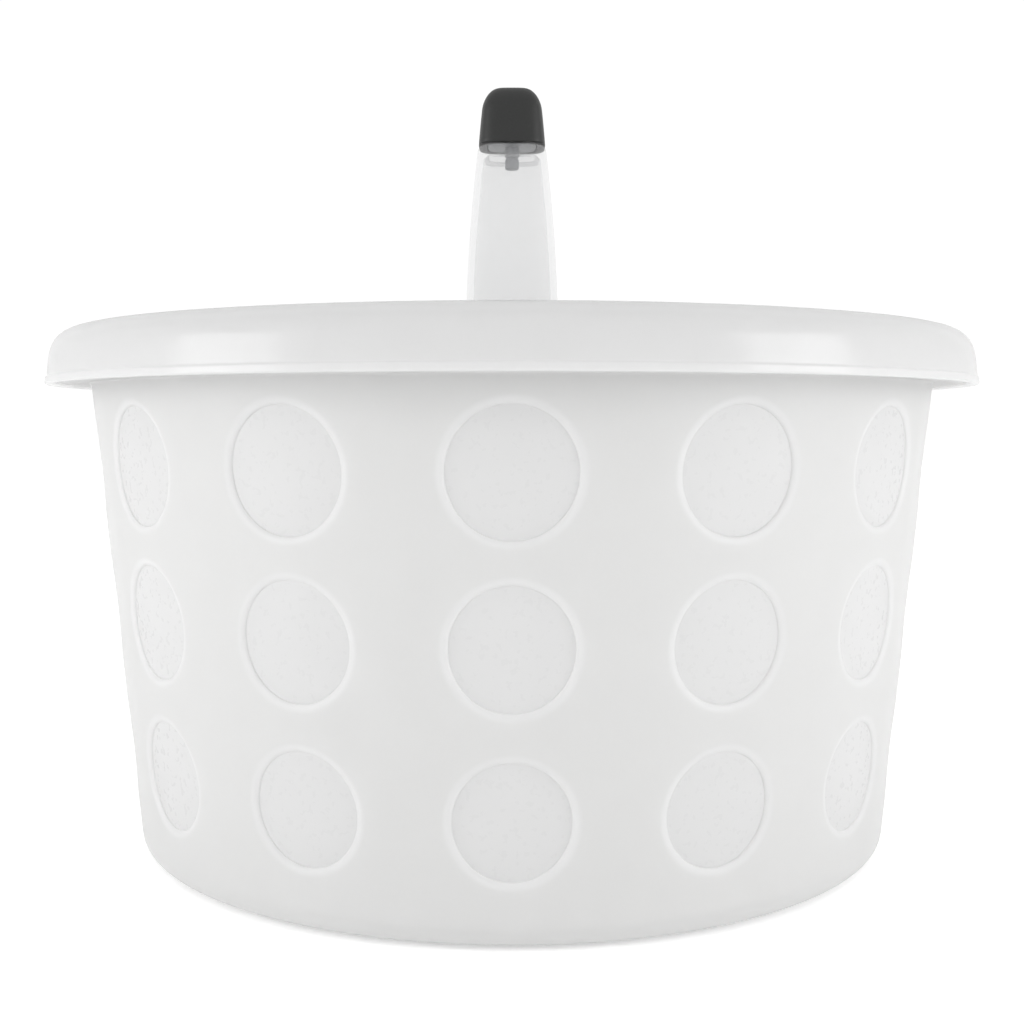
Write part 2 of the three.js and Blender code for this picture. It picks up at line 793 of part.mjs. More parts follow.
// Cap that closes the drum, with the ratchet's teeth on its upstanding wall
function drumCap() {
  const base = disc(drumRadius + drumWall, drumUnder, drumUnder + ratchetWall, round.hub);
  const top = rotorTop - gap;
  const teeth = Array.from({ length: ratchetTeeth }, (_, i) => {
    const low = (2 * Math.PI * i) / ratchetTeeth;
    const high = (2 * Math.PI * (i + 0.94)) / ratchetTeeth;
    return [
      [toothTip * Math.cos(low), toothTip * Math.sin(low)],
      [(toothTip + ratchetDepth) * Math.cos(high), (toothTip + ratchetDepth) * Math.sin(high)],
    ];
  }).flat();
  const wall = disc(drumRadius - gap, drumUnder + 0.5, top, round.hub);
  const inside = stacked([
    { outline: teeth, z: drumUnder + ratchetWall },
    { outline: teeth, z: top + 1 },
  ]);
  return base.add(wall).subtract(inside);
}

// Brake: a hollow button with a stem through the lid plate
const brakeSkirt = plateTop + gap + brakeTravel + gap;
const brakeTop = coverTop + brakeProud;
const brakeInner = brakeTop - 2;
const padTop = driverTop + gap + brakeTravel + brakePadHeight;
function brakeButton() {
  const shell = turned(
    [
      [0, padTop - 1.2],
      [brakeStem, padTop - 1.2],
      [brakeStem, brakeInner],
      [brakeRadius - 1.6, brakeInner],
      [brakeRadius - 1.6, brakeSkirt],
      [brakeRadius, brakeSkirt],
      [brakeRadius, brakeTop - 1.2],
      [brakeRadius - 1.2, brakeTop],
      [brakeRadius - 3, brakeTop - 0.5],
      [0, brakeTop - 0.9],
    ],
    round.small,
  );
  return shell;
}

function brakePad() {
  const pad = disc(brakePadRadius, padTop - brakePadHeight, padTop, round.small);
  return pad.subtract(disc(brakeStem + gap, padTop - 1.2 - gap, padTop + 1, round.small));
}

const brakeSpring = () =>
  coilSpring(brakeSpringRadius, brakeSpringWire, plateTop + gap, brakeInner - gap, 3);

// Lock: a thumb piece on the cover, a leg down beside the housing and a tongue through its wall
function lockSlider() {
  const [long, wide, high] = lockGrip;
  const under = coverTop + gap;
  const half = lockWidth / 2;
  const middle = lockLegInner + lockThickness / 2;
  const leg = box(lockLegInner, lockLegOuter, -half, half, lockTongueUnder, under + 1);
  const tongueTip = tubeBore + slideGap;
  const tongueTop = lockTongueUnder + lockTongueHeight;
  const tongue = box(tongueTip, lockLegInner + 1, -half, half, lockTongueUnder, tongueTop);
  const profile = new THREE.Shape([
    new THREE.Vector2(-long / 2, 0),
    new THREE.Vector2(long / 2, 0),
    new THREE.Vector2(long / 2 - 1.5, high - 1),
    new THREE.Vector2(long / 2 - 3.5, high),
    new THREE.Vector2(0, high - 1),
    new THREE.Vector2(-long / 2 + 3.5, high),
    new THREE.Vector2(-long / 2 + 1.5, high - 1),
  ]);
  const thumb = new THREE.ExtrudeGeometry(profile, { depth: wide, bevelEnabled: false });
  thumb.rotateX(Math.PI / 2);
  thumb.translate(middle, wide / 2, under);
  return solid(thumb).add(leg).add(tongue);
}

const group = new THREE.Group();
function add(name, made, material, place = [0, 0, 0], turn = 0) {
  const mesh = new THREE.Mesh(geometryOf(made), material);
  mesh.name = name;
  mesh.position.set(...place);
  mesh.rotation.z = turn;
  group.add(mesh);
}

add("outer_bowl", outerBowl(), frosted);
add("foot_ring", footRing(), rubber);
add("pivot_bush", pivotBush(), white);
add("inner_basket", innerBasket(), frosted);
add("lid_shell", lidShell(), frosted);
add("lid_seal", lidSeal(), rubber);
add("mechanism_housing", mechanismHousing(), white);
add("top_cover", topCover(), frosted);
for (let i = 0; i < screws; i++) {
  const angle = (Math.PI * (2 * i + 1)) / screws;
  const place = [screwCircle * Math.cos(angle), screwCircle * Math.sin(angle), 0];
  add(`cover_screw_${i + 1}`, coverScrew(), steel, place, angle);
}
add("spindle_bearing", spindleBearing(), white);
add("retainer_ring", retainerRing(), white);
add("pump_handle", pumpHandle(), clear);
add("grip_cap", gripCap(), soft);
add("cap_core", capCore(), grey);
add("drive_nut", driveNut(), white);
const returnSpring = coilSpring(springRadius, springWire, tubeFloorTop + gap, nutUnder - gap, springTurns);
add("return_spring", returnSpring, steel);
add("spiral_rod", spiralRod(), steel);
add("clutch_rotor", clutchRotor(), white);
add("thrust_washer", thrustWasher(), steel);
add("driver_disc", driverDisc(), clear);
add("drum_cap", drumCap(), clear);
add("grip_ring", gripRing(), rubber);
const brakePlace = [-brakeCentre, 0, 0];
add("brake_button", brakeButton(), grey, brakePlace);
add("brake_pad", brakePad(), rubber, brakePlace);
add("brake_spring", brakeSpring(), steel, brakePlace);
add("lock_slider", lockSlider(), grey);

export default group;
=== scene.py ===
# Salad spinner: frosted bowl with round windows, slotted basket, lid and push handle.
# The drive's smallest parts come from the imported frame; what a person sees and holds is made here.
import math

import bmesh
import bpy
import numpy as np
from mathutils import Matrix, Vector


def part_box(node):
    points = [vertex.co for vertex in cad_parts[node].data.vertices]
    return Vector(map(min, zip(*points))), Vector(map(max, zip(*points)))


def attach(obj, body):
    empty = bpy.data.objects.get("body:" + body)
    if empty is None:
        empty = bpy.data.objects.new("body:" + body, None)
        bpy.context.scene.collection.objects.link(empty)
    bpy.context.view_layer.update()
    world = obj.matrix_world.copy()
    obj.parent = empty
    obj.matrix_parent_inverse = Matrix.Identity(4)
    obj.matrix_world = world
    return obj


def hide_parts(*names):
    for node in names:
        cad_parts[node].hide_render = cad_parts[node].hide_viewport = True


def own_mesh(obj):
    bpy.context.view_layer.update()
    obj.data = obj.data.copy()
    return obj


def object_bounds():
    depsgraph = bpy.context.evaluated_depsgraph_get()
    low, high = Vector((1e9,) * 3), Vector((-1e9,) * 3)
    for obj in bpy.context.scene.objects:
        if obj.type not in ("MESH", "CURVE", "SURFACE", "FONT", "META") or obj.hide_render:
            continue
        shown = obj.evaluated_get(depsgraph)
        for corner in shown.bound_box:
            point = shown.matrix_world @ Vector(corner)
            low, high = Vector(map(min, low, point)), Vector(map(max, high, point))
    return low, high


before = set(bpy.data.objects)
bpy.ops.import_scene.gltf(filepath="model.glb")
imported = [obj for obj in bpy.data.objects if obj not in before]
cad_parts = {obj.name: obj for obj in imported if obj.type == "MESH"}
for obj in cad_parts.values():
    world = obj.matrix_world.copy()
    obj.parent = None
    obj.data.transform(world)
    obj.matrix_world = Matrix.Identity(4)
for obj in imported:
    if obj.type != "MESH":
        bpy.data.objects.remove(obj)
cadLow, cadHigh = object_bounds()
mm = 0.001  # sizes below are in millimetres, meshes in metres
restGap = 0.3  # between pieces that rest on each other
print("stage: frame loaded,", len(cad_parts), "nodes")


def span(node, axis=2):
    low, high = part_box(node)
    return low[axis] / mm, high[axis] / mm


def reach(node):
    return span(node, 1)[1]  # outer radius of a piece centred on the axis


cameraSettings = {"distance": 402, "height": 115.3, "lens": 48.09, "shift": -0.085}
lightSettings = {
    "world": 1.03,
    "side": {"at": (620, -330, 230), "size": 330, "power": 1.65},
    "floor": (0.96, 0.96, 0.96),
    "floorGlow": 0.19,
}


def makeCamera():
    camera = bpy.data.cameras.new("camera")
    camera.lens = cameraSettings["lens"]
    camera.shift_y = cameraSettings["shift"]
    camera.clip_start = 0.01
    holder = bpy.data.objects.new("camera", camera)
    holder.location = (0, -cameraSettings["distance"] * mm, cameraSettings["height"] * mm)
    holder.rotation_euler = (math.pi / 2, 0, 0)
    bpy.context.scene.collection.objects.link(holder)
    bpy.context.scene.camera = holder
    bpy.context.scene.view_settings.view_transform = "Standard"


# two large soft boxes, one each side of the camera, in a white room
def makeLights():
    world = bpy.data.worlds.new("room")
    world.use_nodes = True
    world.node_tree.nodes["Background"].inputs["Color"].default_value = (1, 1, 1, 1)
    world.node_tree.nodes["Background"].inputs["Strength"].default_value = lightSettings["world"]
    bpy.context.scene.world = world
    side = lightSettings["side"]
    for name, sign in (("boxLeft", -1), ("boxRight", 1)):
        light = bpy.data.lights.new(name, "AREA")
        light.size = side["size"] * mm
        light.energy = side["power"]
        holder = bpy.data.objects.new(name, light)
        x, y, z = (value * mm for value in side["at"])
        holder.location = (sign * x, y, z)
        target = bpy.data.objects["camera"].location * 0
        target.z = cadHigh.z / 2
        holder.rotation_euler = (target - holder.location).to_track_quat("-Z", "Y").to_euler()
        bpy.context.scene.collection.objects.link(holder)


makeCamera()
makeLights()
print("stage: camera and lights")


# quads of a grid of points, closed round either way where asked
def gridQuads(rows, columns, closeRows=False, closeColumns=False):
    index = np.arange(rows * columns).reshape(rows, columns)
    if closeRows:
        index = np.vstack([index, index[:1]])
    if closeColumns:
        index = np.hstack([index, index[:, :1]])
    corners = [index[:-1, :-1], index[:-1, 1:], index[1:, 1:], index[1:, :-1]]
    return np.stack(corners, -1).reshape(-1, 4)


def shadeSmooth(mesh, sharpAngle):
    mesh.polygons.foreach_set("use_smooth", np.ones(len(mesh.polygons), bool))
    mesh.set_sharp_from_angle(angle=math.radians(sharpAngle))
    mesh.update()


# One mesh from several (points, quads) patches. Points closer than merge become one, so patches
# join along shared edges and a ring of no radius becomes a pole.
def meshOf(name, patches, sharpAngle=35, merge=0.006):
    offsets = np.cumsum([0] + [len(points) for points, quads in patches])
    points = np.concatenate([points for points, quads in patches]) * mm
    quads = np.concatenate([quads + start for (p, quads), start in zip(patches, offsets)])
    mesh = bpy.data.meshes.new(name)
    mesh.vertices.add(len(points))
    mesh.vertices.foreach_set("co", points.astype(np.float32).ravel())
    mesh.loops.add(quads.size)
    mesh.loops.foreach_set("vertex_index", quads.astype(np.int32).ravel())
    mesh.polygons.add(len(quads))
    mesh.polygons.foreach_set("loop_start", np.arange(len(quads), dtype=np.int32) * 4)
    mesh.update(calc_edges=True)
    work = bmesh.new()
    work.from_mesh(mesh)
    bmesh.ops.remove_doubles(work, verts=work.verts, dist=merge * mm)
    bmesh.ops.recalc_face_normals(work, faces=work.faces)
    work.to_mesh(mesh)
    work.free()
    shadeSmooth(mesh, sharpAngle)
    return mesh


# modifiers worked into the mesh, so that what is kept is the final shape
def applied(mesh, setUp, sharpAngle=35):
    holder = bpy.data.objects.new("holder", mesh)
    bpy.context.scene.collection.objects.link(holder)
    setUp(holder)
    depsgraph = bpy.context.evaluated_depsgraph_get()
    made = bpy.data.meshes.new_from_object(holder.evaluated_get(depsgraph))
    bpy.data.objects.remove(holder)
    shadeSmooth(made, sharpAngle)
    return made


# rounds the edges that are sharper than an angle
def bevelled(holder, width, angle):
    edge = holder.modifiers.new("edge", "BEVEL")
    edge.width, edge.segments = width * mm, 2
    edge.limit_method, edge.angle_limit = "ANGLE", math.radians(angle)


# mesh with other closed meshes cut out of it, or joined to it
def combined(mesh, others, operation="DIFFERENCE", sharpAngle=35):
    tools = [bpy.data.objects.new("tool", other) for other in others]
    for tool in tools:
        bpy.context.scene.collection.objects.link(tool)

    def setUp(holder):
        for tool in tools:
            step = holder.modifiers.new("step", "BOOLEAN")
            step.object, step.operation, step.solver = tool, operation, "EXACT"

    made = applied(mesh, setUp, sharpAngle)
    for tool in tools:
        bpy.data.objects.remove(tool)
    return made


# Outline through corners (a, b, fillet). A corner is cut back by its fillet along both sides and
# bridged by the quadratic Bezier of the two cut points and the corner; one more point just
# outside each cut keeps the flat sides flat in smooth shading.
def rounded(corners, steps=5, past=1.15):
    corners = np.array(corners, float)
    places, fillets = corners[:, :2], corners[:, 2]
    back = np.roll(places, 1, axis=0) - places
    ahead = np.roll(places, -1, axis=0) - places
    share = np.linspace(0, 1, steps + 1)[:, None]
    line = []
    for place, fillet, toBack, toAhead in zip(places, fillets, back, ahead):
        if fillet == 0:
            line.append(place[None])
            continue
        toBack = toBack / np.linalg.norm(toBack) * fillet
        toAhead = toAhead / np.linalg.norm(toAhead) * fillet
        bend = place + (1 - share) ** 2 * toBack + share**2 * toAhead
        line.append(np.concatenate([[place + past * toBack], bend, [place + past * toAhead]]))
    return np.concatenate(line)


# Surface carried through sections. Row by row, the section is the superellipse
# |x|^p + |y|^p = half^p at that height, turned by an angle: p = 2 is a circle, 4 a rounded square.
# A closed profile gives a ring-shaped solid; an open one starts and ends on the axis.
def lofted(profile, powers=2.0, count=160, closed=True, centre=(0, 0), turns=0.0):
    profile = np.asarray(profile, float)
    powers = np.broadcast_to(powers, len(profile))[:, None]
    turns = np.broadcast_to(turns, len(profile))[:, None]
    angle = (np.arange(count) + 0.5) * 2 * np.pi / count
    c, s = np.cos(angle), np.sin(angle)
    out = profile[:, :1] * (np.abs(c) ** powers + np.abs(s) ** powers) ** (-1 / powers)
    x = centre[0] + out * (c * np.cos(turns) - s * np.sin(turns))
    y = centre[1] + out * (c * np.sin(turns) + s * np.cos(turns))
    z = np.repeat(profile[:, 1:2], count, axis=1)
    points = np.stack([x, y, z], -1).reshape(-1, 3)
    return points, gridQuads(len(profile), count, closeRows=closed, closeColumns=True)


# Outline through rounded corners, extruded along an axis: along 1 is y, 2 is z. The ends are cut
# into triangles, so the outline may have hollows.
def prism(name, corners, low, high, along=1, steps=4):
    outline = rounded(corners, steps)
    count = len(outline)
    depths = np.repeat([low, high], count)
    points = np.insert(np.concatenate([outline, outline]), along, depths, axis=1) * mm
    sides = gridQuads(2, count, closeColumns=True)
    ends = np.arange(2 * count).reshape(2, count)
    mesh = bpy.data.meshes.new(name)
    mesh.from_pydata(points.tolist(), [], sides.tolist() + ends.tolist())
    work = bmesh.new()
    work.from_mesh(mesh)
    bmesh.ops.recalc_face_normals(work, faces=work.faces)
    bmesh.ops.triangulate(work, faces=[face for face in work.faces if len(face.verts) > 4])
    work.to_mesh(mesh)
    work.free()
    shadeSmooth(mesh, 35)
    return mesh


# Outline of a cell, anticlockwise from its lower left corner, with nb points along its foot and
# head and nv up each side
def boxOutline(halfWide, halfHigh, nb, nv):
    across, up = np.linspace(-1, 1, nb, endpoint=False), np.linspace(-1, 1, nv, endpoint=False)
    a = np.concatenate([across, np.ones(nv), -across, -np.ones(nv)]) * halfWide
    b = np.concatenate([-np.ones(nb), up, np.ones(nb), -up]) * halfHigh
    return np.stack([a, b], -1)


# the same points on a circle of radius 1: each side of the cell takes a quarter turn
def circleOutline(nb):
    angle = -0.75 * np.pi + np.arange(4 * nb) * (2 * np.pi / (4 * nb))
    return np.stack([np.cos(angle), np.sin(angle)], -1)


# the same points on a slot: half circles at foot and head, straight sides between them
def slotOutline(halfWide, halfHigh, nb, nv):
    turn = np.pi + np.linspace(0, np.pi, nb, endpoint=False)
    straight = halfHigh - halfWide
    up = np.linspace(-1, 1, nv, endpoint=False) * straight
    foot = np.stack([halfWide * np.cos(turn), halfWide * np.sin(turn) - straight], -1)
    right = np.stack([np.full(nv, halfWide), up], -1)
    return np.concatenate([foot, right, -foot, -right])


# Wire along a helix: at turn t the middle lies at the coil's radius and at a height that rises by
# one wire a turn in the closed end coils and evenly between. The wire's ends taper to a point.
def coil(radius, wire, low, high, turns, dead=1.0, steps=44, sides=12):
    t = np.linspace(0, turns, int(turns * steps) + 1)
    active = turns - 2 * dead
    closedPart = wire * (np.minimum(t, dead) + np.maximum(t - turns + dead, 0))
    rise = np.clip(t - dead, 0, active) / active * (high - low - wire * (1 + 2 * dead))
    z = low + wire / 2 + closedPart + rise
    angle = 2 * np.pi * t
    outward = np.stack([np.cos(angle), np.sin(angle), 0 * t], -1)
    middle = radius * outward
    middle[:, 2] = z
    forward = np.gradient(middle, axis=0)
    forward /= np.linalg.norm(forward, axis=1, keepdims=True)
    across = np.cross(forward, outward)
    fromEnd = np.minimum(t, turns - t) * steps / 3  # 0 at an end, 1 three steps in
    thick = wire / 2 * np.sqrt(1 - (1 - np.minimum(fromEnd, 1)) ** 2)
    round_ = np.arange(sides) * 2 * np.pi / sides
    c, s = (part[None, :, None] for part in (np.cos(round_), np.sin(round_)))
    section = outward[:, None] * c + across[:, None] * s
    points = middle[:, None] + thick[:, None, None] * section
    return points.reshape(-1, 3), gridQuads(len(t), sides, closeColumns=True)


# a finished piece: stands for its CAD nodes, rides on a body and takes a finish
def addPiece(name, mesh, body, slot, finish, *replaced):
    mesh.name = name
    mesh.materials.clear()
    mesh.materials.append(finish)
    piece = bpy.data.objects.new(name, mesh)
    bpy.context.scene.collection.objects.link(piece)
    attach(piece, body)
    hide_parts(*(replaced or (name,)))
    return piece


# A shader socket with arithmetic: an expression on sockets and numbers adds its Math nodes
class Wire:
    def __init__(self, tree, socket):
        self.tree, self.socket = tree, socket

    def feed(self, place):
        self.tree.links.new(self.socket, place)

    def math(self, operation, *values):
        node = self.tree.nodes.new("ShaderNodeMath")
        node.operation = operation
        for place, value in zip(node.inputs, values):
            if isinstance(value, Wire):
                value.feed(place)
            else:
                place.default_value = value
        return Wire(self.tree, node.outputs[0])

    def __add__(self, other):
        return self.math("ADD", self, other)

    def __sub__(self, other):
        return self.math("SUBTRACT", self, other)

    def __rsub__(self, other):
        return self.math("SUBTRACT", other, self)

    def __mul__(self, other):
        return self.math("MULTIPLY", self, other)

    def __truediv__(self, other):
        return self.math("DIVIDE", self, other)

    __radd__, __rmul__ = __add__, __mul__

    # 0 below start, 1 above end, smooth between
    def smooth(self, start, end):
        share = (self - start) / (end - start)
        share = self.math("MINIMUM", self.math("MAXIMUM", share, 0), 1)
        return share * share * (3 - 2 * share)


class Finish:
    def __init__(self, name):
        self.material = bpy.data.materials.new(name)
        self.material.use_nodes = True
        self.tree = self.material.node_tree
        self.tree.nodes.clear()
        self.place = self.add("TexCoord", output=3)  # where a point lies on the object, in metres
        split = self.add("SeparateXYZ", values={0: self.place}).socket.node
        self.x, self.y, self.z = (Wire(self.tree, socket) for socket in split.outputs)

    # a node of any type: settings first, then the values or links of its sockets
    def add(self, kind, settings=None, values=None, output=0):
        node = self.tree.nodes.new("ShaderNode" + kind)
        for key, value in (settings or {}).items():
            setattr(node, key, value)
        for key, value in (values or {}).items():
            if isinstance(value, Wire):
                value.feed(node.inputs[key])
            else:
                node.inputs[key].default_value = value
        return Wire(self.tree, node.outputs[output])

    # cloudy pattern with features of a size in millimetres, from 0 to 1
    def cloud(self, size, detail=2.0):
        values = {"Vector": self.place, "Scale": 1 / (size * mm), "Detail": detail}
        return self.add("TexNoise", values=values)

    # colour between two colours or colour sockets
    def between(self, share, dark, light):
        ends = [color if isinstance(color, Wire) else (*color, 1) for color in (dark, light)]
        return self.add("Mix", {"data_type": "RGBA"}, {0: share, 6: ends[0], 7: ends[1]}, output=2)

    def relief(self, height, depth, strength=1.0):
        values = {"Height": height, "Distance": depth * mm, "Strength": strength}
        return self.add("Bump", values=values)

    def plastic(self, **values):
        fuller = {"color": "Base Color", "IOR": "IOR"}
        named = {fuller.get(key, key.capitalize()): value for key, value in values.items()}
        return self.add("BsdfPrincipled", values=named)

    def mixed(self, share, first, second):
        return self.add("MixShader", values={0: share, 1: first, 2: second})

    def done(self, surface):
        output = self.tree.nodes.new("ShaderNodeOutputMaterial")
        surface.feed(output.inputs["Surface"])
        return self.material


bowl = {
    "baseRadius": 104.2,
    "mouthRadius": 118.4,
    "wall": 2.2,
    "floor": 2.6,
    "corner": 4.5,
    "flange": 2.2,
    "columns": 14,
    "windows": ((29.2, 13.25), (67.25, 13.875), (105.3, 14.5)),  # centre height, radius
    "windowDepth": 1.0,
    "lip": 2.2,
    "pivot": (6, 4.5, 13.5),  # radius at its foot, radius at its top, height
    "footWide": 6,
}
frostedSettings = {
    "bowl": ((0.73, 0.73, 0.725), (0.78, 0.78, 0.775)),
    "lid": ((0.68, 0.68, 0.68), (0.73, 0.73, 0.73)),
    "window": (0.79, 0.79, 0.79),
    # lighter colour of the ring round each window: a painted highlight on the rounded lip
    "lip": (0.82, 0.82, 0.82),
    "translucent": (0.95, 0.95, 0.95, 1),
    "glow": 0.46,
    "through": 0.09,
    "windowThrough": 0.05,
    "windowGloss": 0.16,  # how much less rough the windows are
    "windowFlat": 0.85,  # how much weaker their grain is
}
clearSettings = {"straight": 0.84, "onward": 0.4}  # straight through; of the rest, scattered on


# Two masks of the bowl's round windows, each 1 inside and 0 outside: the windows themselves, and
# the windows with their lips; the lip ring is painted lighter as a highlight. The distance to the
# nearest window's middle is taken round the wall in arc length and up it in height.
def windowMasks(f):
    pitch = 2 * math.pi / bowl["columns"]
    turn = f.x.math("ARCTAN2", f.x, 0 - f.y) / pitch
    radius = f.x.math("SQRT", f.x * f.x + f.y * f.y)
    across = (turn - turn.math("ROUND", turn)) * pitch * radius
    inside, lipped = 0, 0
    for height, windowRadius in bowl["windows"]:
        up = f.z - height * mm
        away = f.x.math("SQRT", across * across + up * up) - windowRadius * mm
        inside = (1 - away.smooth(-0.3 * mm, 0.2 * mm)) + inside
        lipped = (1 - away.smooth(1.0 * mm, 2.4 * mm)) + lipped
    return inside, lipped


# Milky moulded plastic: part light scattered back, part scattered through, a little straight
# through, with cloudy colour and a very fine grain. The windows are smoother and let more through,
# and the ring of each window's lip is painted lighter as a highlight.
def frosted(name, tint, rough, windows=False):
    f = Finish(name)
    s = frostedSettings
    cloudy = f.cloud(9) * 0.6 + f.cloud(0.7) * 0.4
    color = f.between(cloudy, *s[tint])
    roughness = rough + 0.14 * f.cloud(1.5)
    grain, clearShare = f.cloud(0.45, 4), s["through"]
    if windows:
        inside, lipped = windowMasks(f)
        # the ring round each window takes the lighter lip colour, a painted highlight
        color = f.between(inside, f.between(lipped, color, s["lip"]), s["window"])
        roughness = roughness - s["windowGloss"] * inside
        clearShare = clearShare + s["windowThrough"] * inside
        grain = grain * (1 - s["windowFlat"] * inside)
    normal = f.relief(grain, 0.015, 0.6)
    clear = f.add("BsdfTransparent", values={"Color": (1, 1, 1, 1)})
    skin = f.plastic(color=color, roughness=roughness, IOR=1.49, normal=normal)
    glow = f.add("BsdfTranslucent", values={"Color": s["translucent"]})
    return f.done(f.mixed(clearShare, f.mixed(s["glow"], skin, glow), clear))


# Clear moulded plastic with a light haze: mostly straight through, slightly tinted, with a
# share that scatters back and a share that scatters on
def clearPlastic(name):
    f = Finish(name)
    color = f.between(f.cloud(6), (0.74, 0.745, 0.75), (0.80, 0.803, 0.806))
    rough = 0.12 + 0.10 * f.cloud(2.5)
    waves = f.relief(f.cloud(1.2, 3), 0.01, 0.5)
    skin = f.plastic(color=color, roughness=rough, IOR=1.49, normal=waves)
    glow = f.add("BsdfTranslucent", values={"Color": (0.8, 0.8, 0.81, 1)})
    clear = f.add("BsdfTransparent", values={"Color": (0.955, 0.955, 0.955, 1)})
    milky = f.mixed(clearSettings["onward"], skin, glow)
    return f.done(f.mixed(clearSettings["straight"], milky, clear))


# Soft-touch rubber: matt, with a fine even pitting
def softGrip(name):
    f = Finish(name)
    color = f.between(f.cloud(0.5, 4), (0.011, 0.0115, 0.011), (0.019, 0.0195, 0.019))
    rough = 0.40 + 0.14 * f.cloud(1.6)
    pitted = f.relief(f.cloud(0.32, 4), 0.03, 0.8)
    return f.done(f.plastic(color=color, roughness=rough, IOR=1.4, normal=pitted))


# hard coloured plastic with a slight orange peel
def hardPlastic(name, dark, light, rough=0.3):
    f = Finish(name)
    color = f.between(f.cloud(5), dark, light)
    roughness = rough + 0.12 * f.cloud(1.1)
    peel = f.relief(f.cloud(0.9, 3), 0.012, 0.6)
    return f.done(f.plastic(color=color, roughness=roughness, normal=peel))


# drawn steel: fine scratches round the axis, as noise stretched along the height's rings
def steel(name):
    f = Finish(name)
    rings = f.add("CombineXYZ", values={2: f.z})
    scratch = f.add("TexNoise", values={"Vector": rings, "Scale": 9000.0, "Detail": 3.0})
    color = f.between(scratch, (0.56, 0.57, 0.58), (0.68, 0.69, 0.70))
    rough = 0.22 + 0.16 * scratch
    drawn = f.relief(scratch, 0.008, 0.5)
    return f.done(f.plastic(color=color, metallic=1.0, roughness=rough, normal=drawn))


# silicone: matt, slightly see-through rubber
def silicone(name):
    f = Finish(name)
    color = f.between(f.cloud(3), (0.66, 0.67, 0.68), (0.74, 0.75, 0.76))
    rough = 0.55 + 0.15 * f.cloud(1.2)
    skin = f.plastic(color=color, roughness=rough, normal=f.relief(f.cloud(0.5, 3), 0.02, 0.6))
    glow = f.add("BsdfTranslucent", values={"Color": (0.8, 0.8, 0.8, 1)})
    return f.done(f.mixed(0.3, skin, glow))


finishes = {
    "frostedBowl": frosted("frostedBowl", "bowl", 0.38, windows=True),
    "frosted": frosted("frosted", "bowl", 0.38),
    "frostedLid": frosted("frostedLid", "lid", 0.12),
    "clear": clearPlastic("clearPlastic"),
    "soft": softGrip("softGrip"),
    "grey": hardPlastic("greyPlastic", (0.115, 0.122, 0.132), (0.145, 0.153, 0.163)),
    "white": hardPlastic("whitePlastic", (0.76, 0.76, 0.75), (0.83, 0.83, 0.82)),
    "steel": steel("drawnSteel"),
    "silicone": silicone("silicone"),
}
print("stage: finishes")


# outer radius of the bowl's wall at a height
def wallAt(z):
    rise = span("outer_bowl")[1]
    return bowl["baseRadius"] + (bowl["mouthRadius"] - bowl["baseRadius"]) * z / rise


# Cells of the wall, one for each window. A cell is a patch of the cone, seen as angle and height.
# Its rings run from the cell's own outline to a circle round the window, over the rounded lip,
# down to the window's sunk face, and in to its middle.
def windowCells(steps=16):
    half = (bowl["windows"][1][0] - bowl["windows"][0][0]) / 2
    pitch = 2 * np.pi / bowl["columns"]
    outline = boxOutline(pitch / 2, half, steps, steps)
    circle = circleOutline(steps)
    cells = []
    for middle, radius in bowl["windows"]:
        turn = np.linspace(0, np.pi / 2, 7)[1:]
        lip = radius + bowl["lip"] * (1 - np.sin(turn))
        face = radius * np.linspace(0.97, 0, 7)
        away = np.concatenate([[radius + bowl["lip"]], lip, face])
        depth = bowl["windowDepth"]
        sunk = np.concatenate([[0], depth * (1 - np.cos(turn)), np.full(7, depth)])
        ring = away[:, None, None] * circle
        ring[..., 0] /= wallAt(middle + ring[..., 1])
        share = np.array([0, 0.35, 0.7])[:, None, None]
        ring = np.concatenate([(1 - share) * outline + share * ring[0], ring])
        sunk = np.concatenate([np.zeros(3), sunk])[:, None]
        z = middle + ring[..., 1]
        radial = wallAt(z) - sunk
        for column in range(bowl["columns"]):
            angle = -np.pi / 2 + column * pitch + ring[..., 0]
            points = np.stack([radial * np.cos(angle), radial * np.sin(angle), z], -1)
            cells.append((points.reshape(-1, 3), gridQuads(len(ring), 4 * steps, closeColumns=True)))
    return cells, middle + half, bowl["windows"][0][0] - half


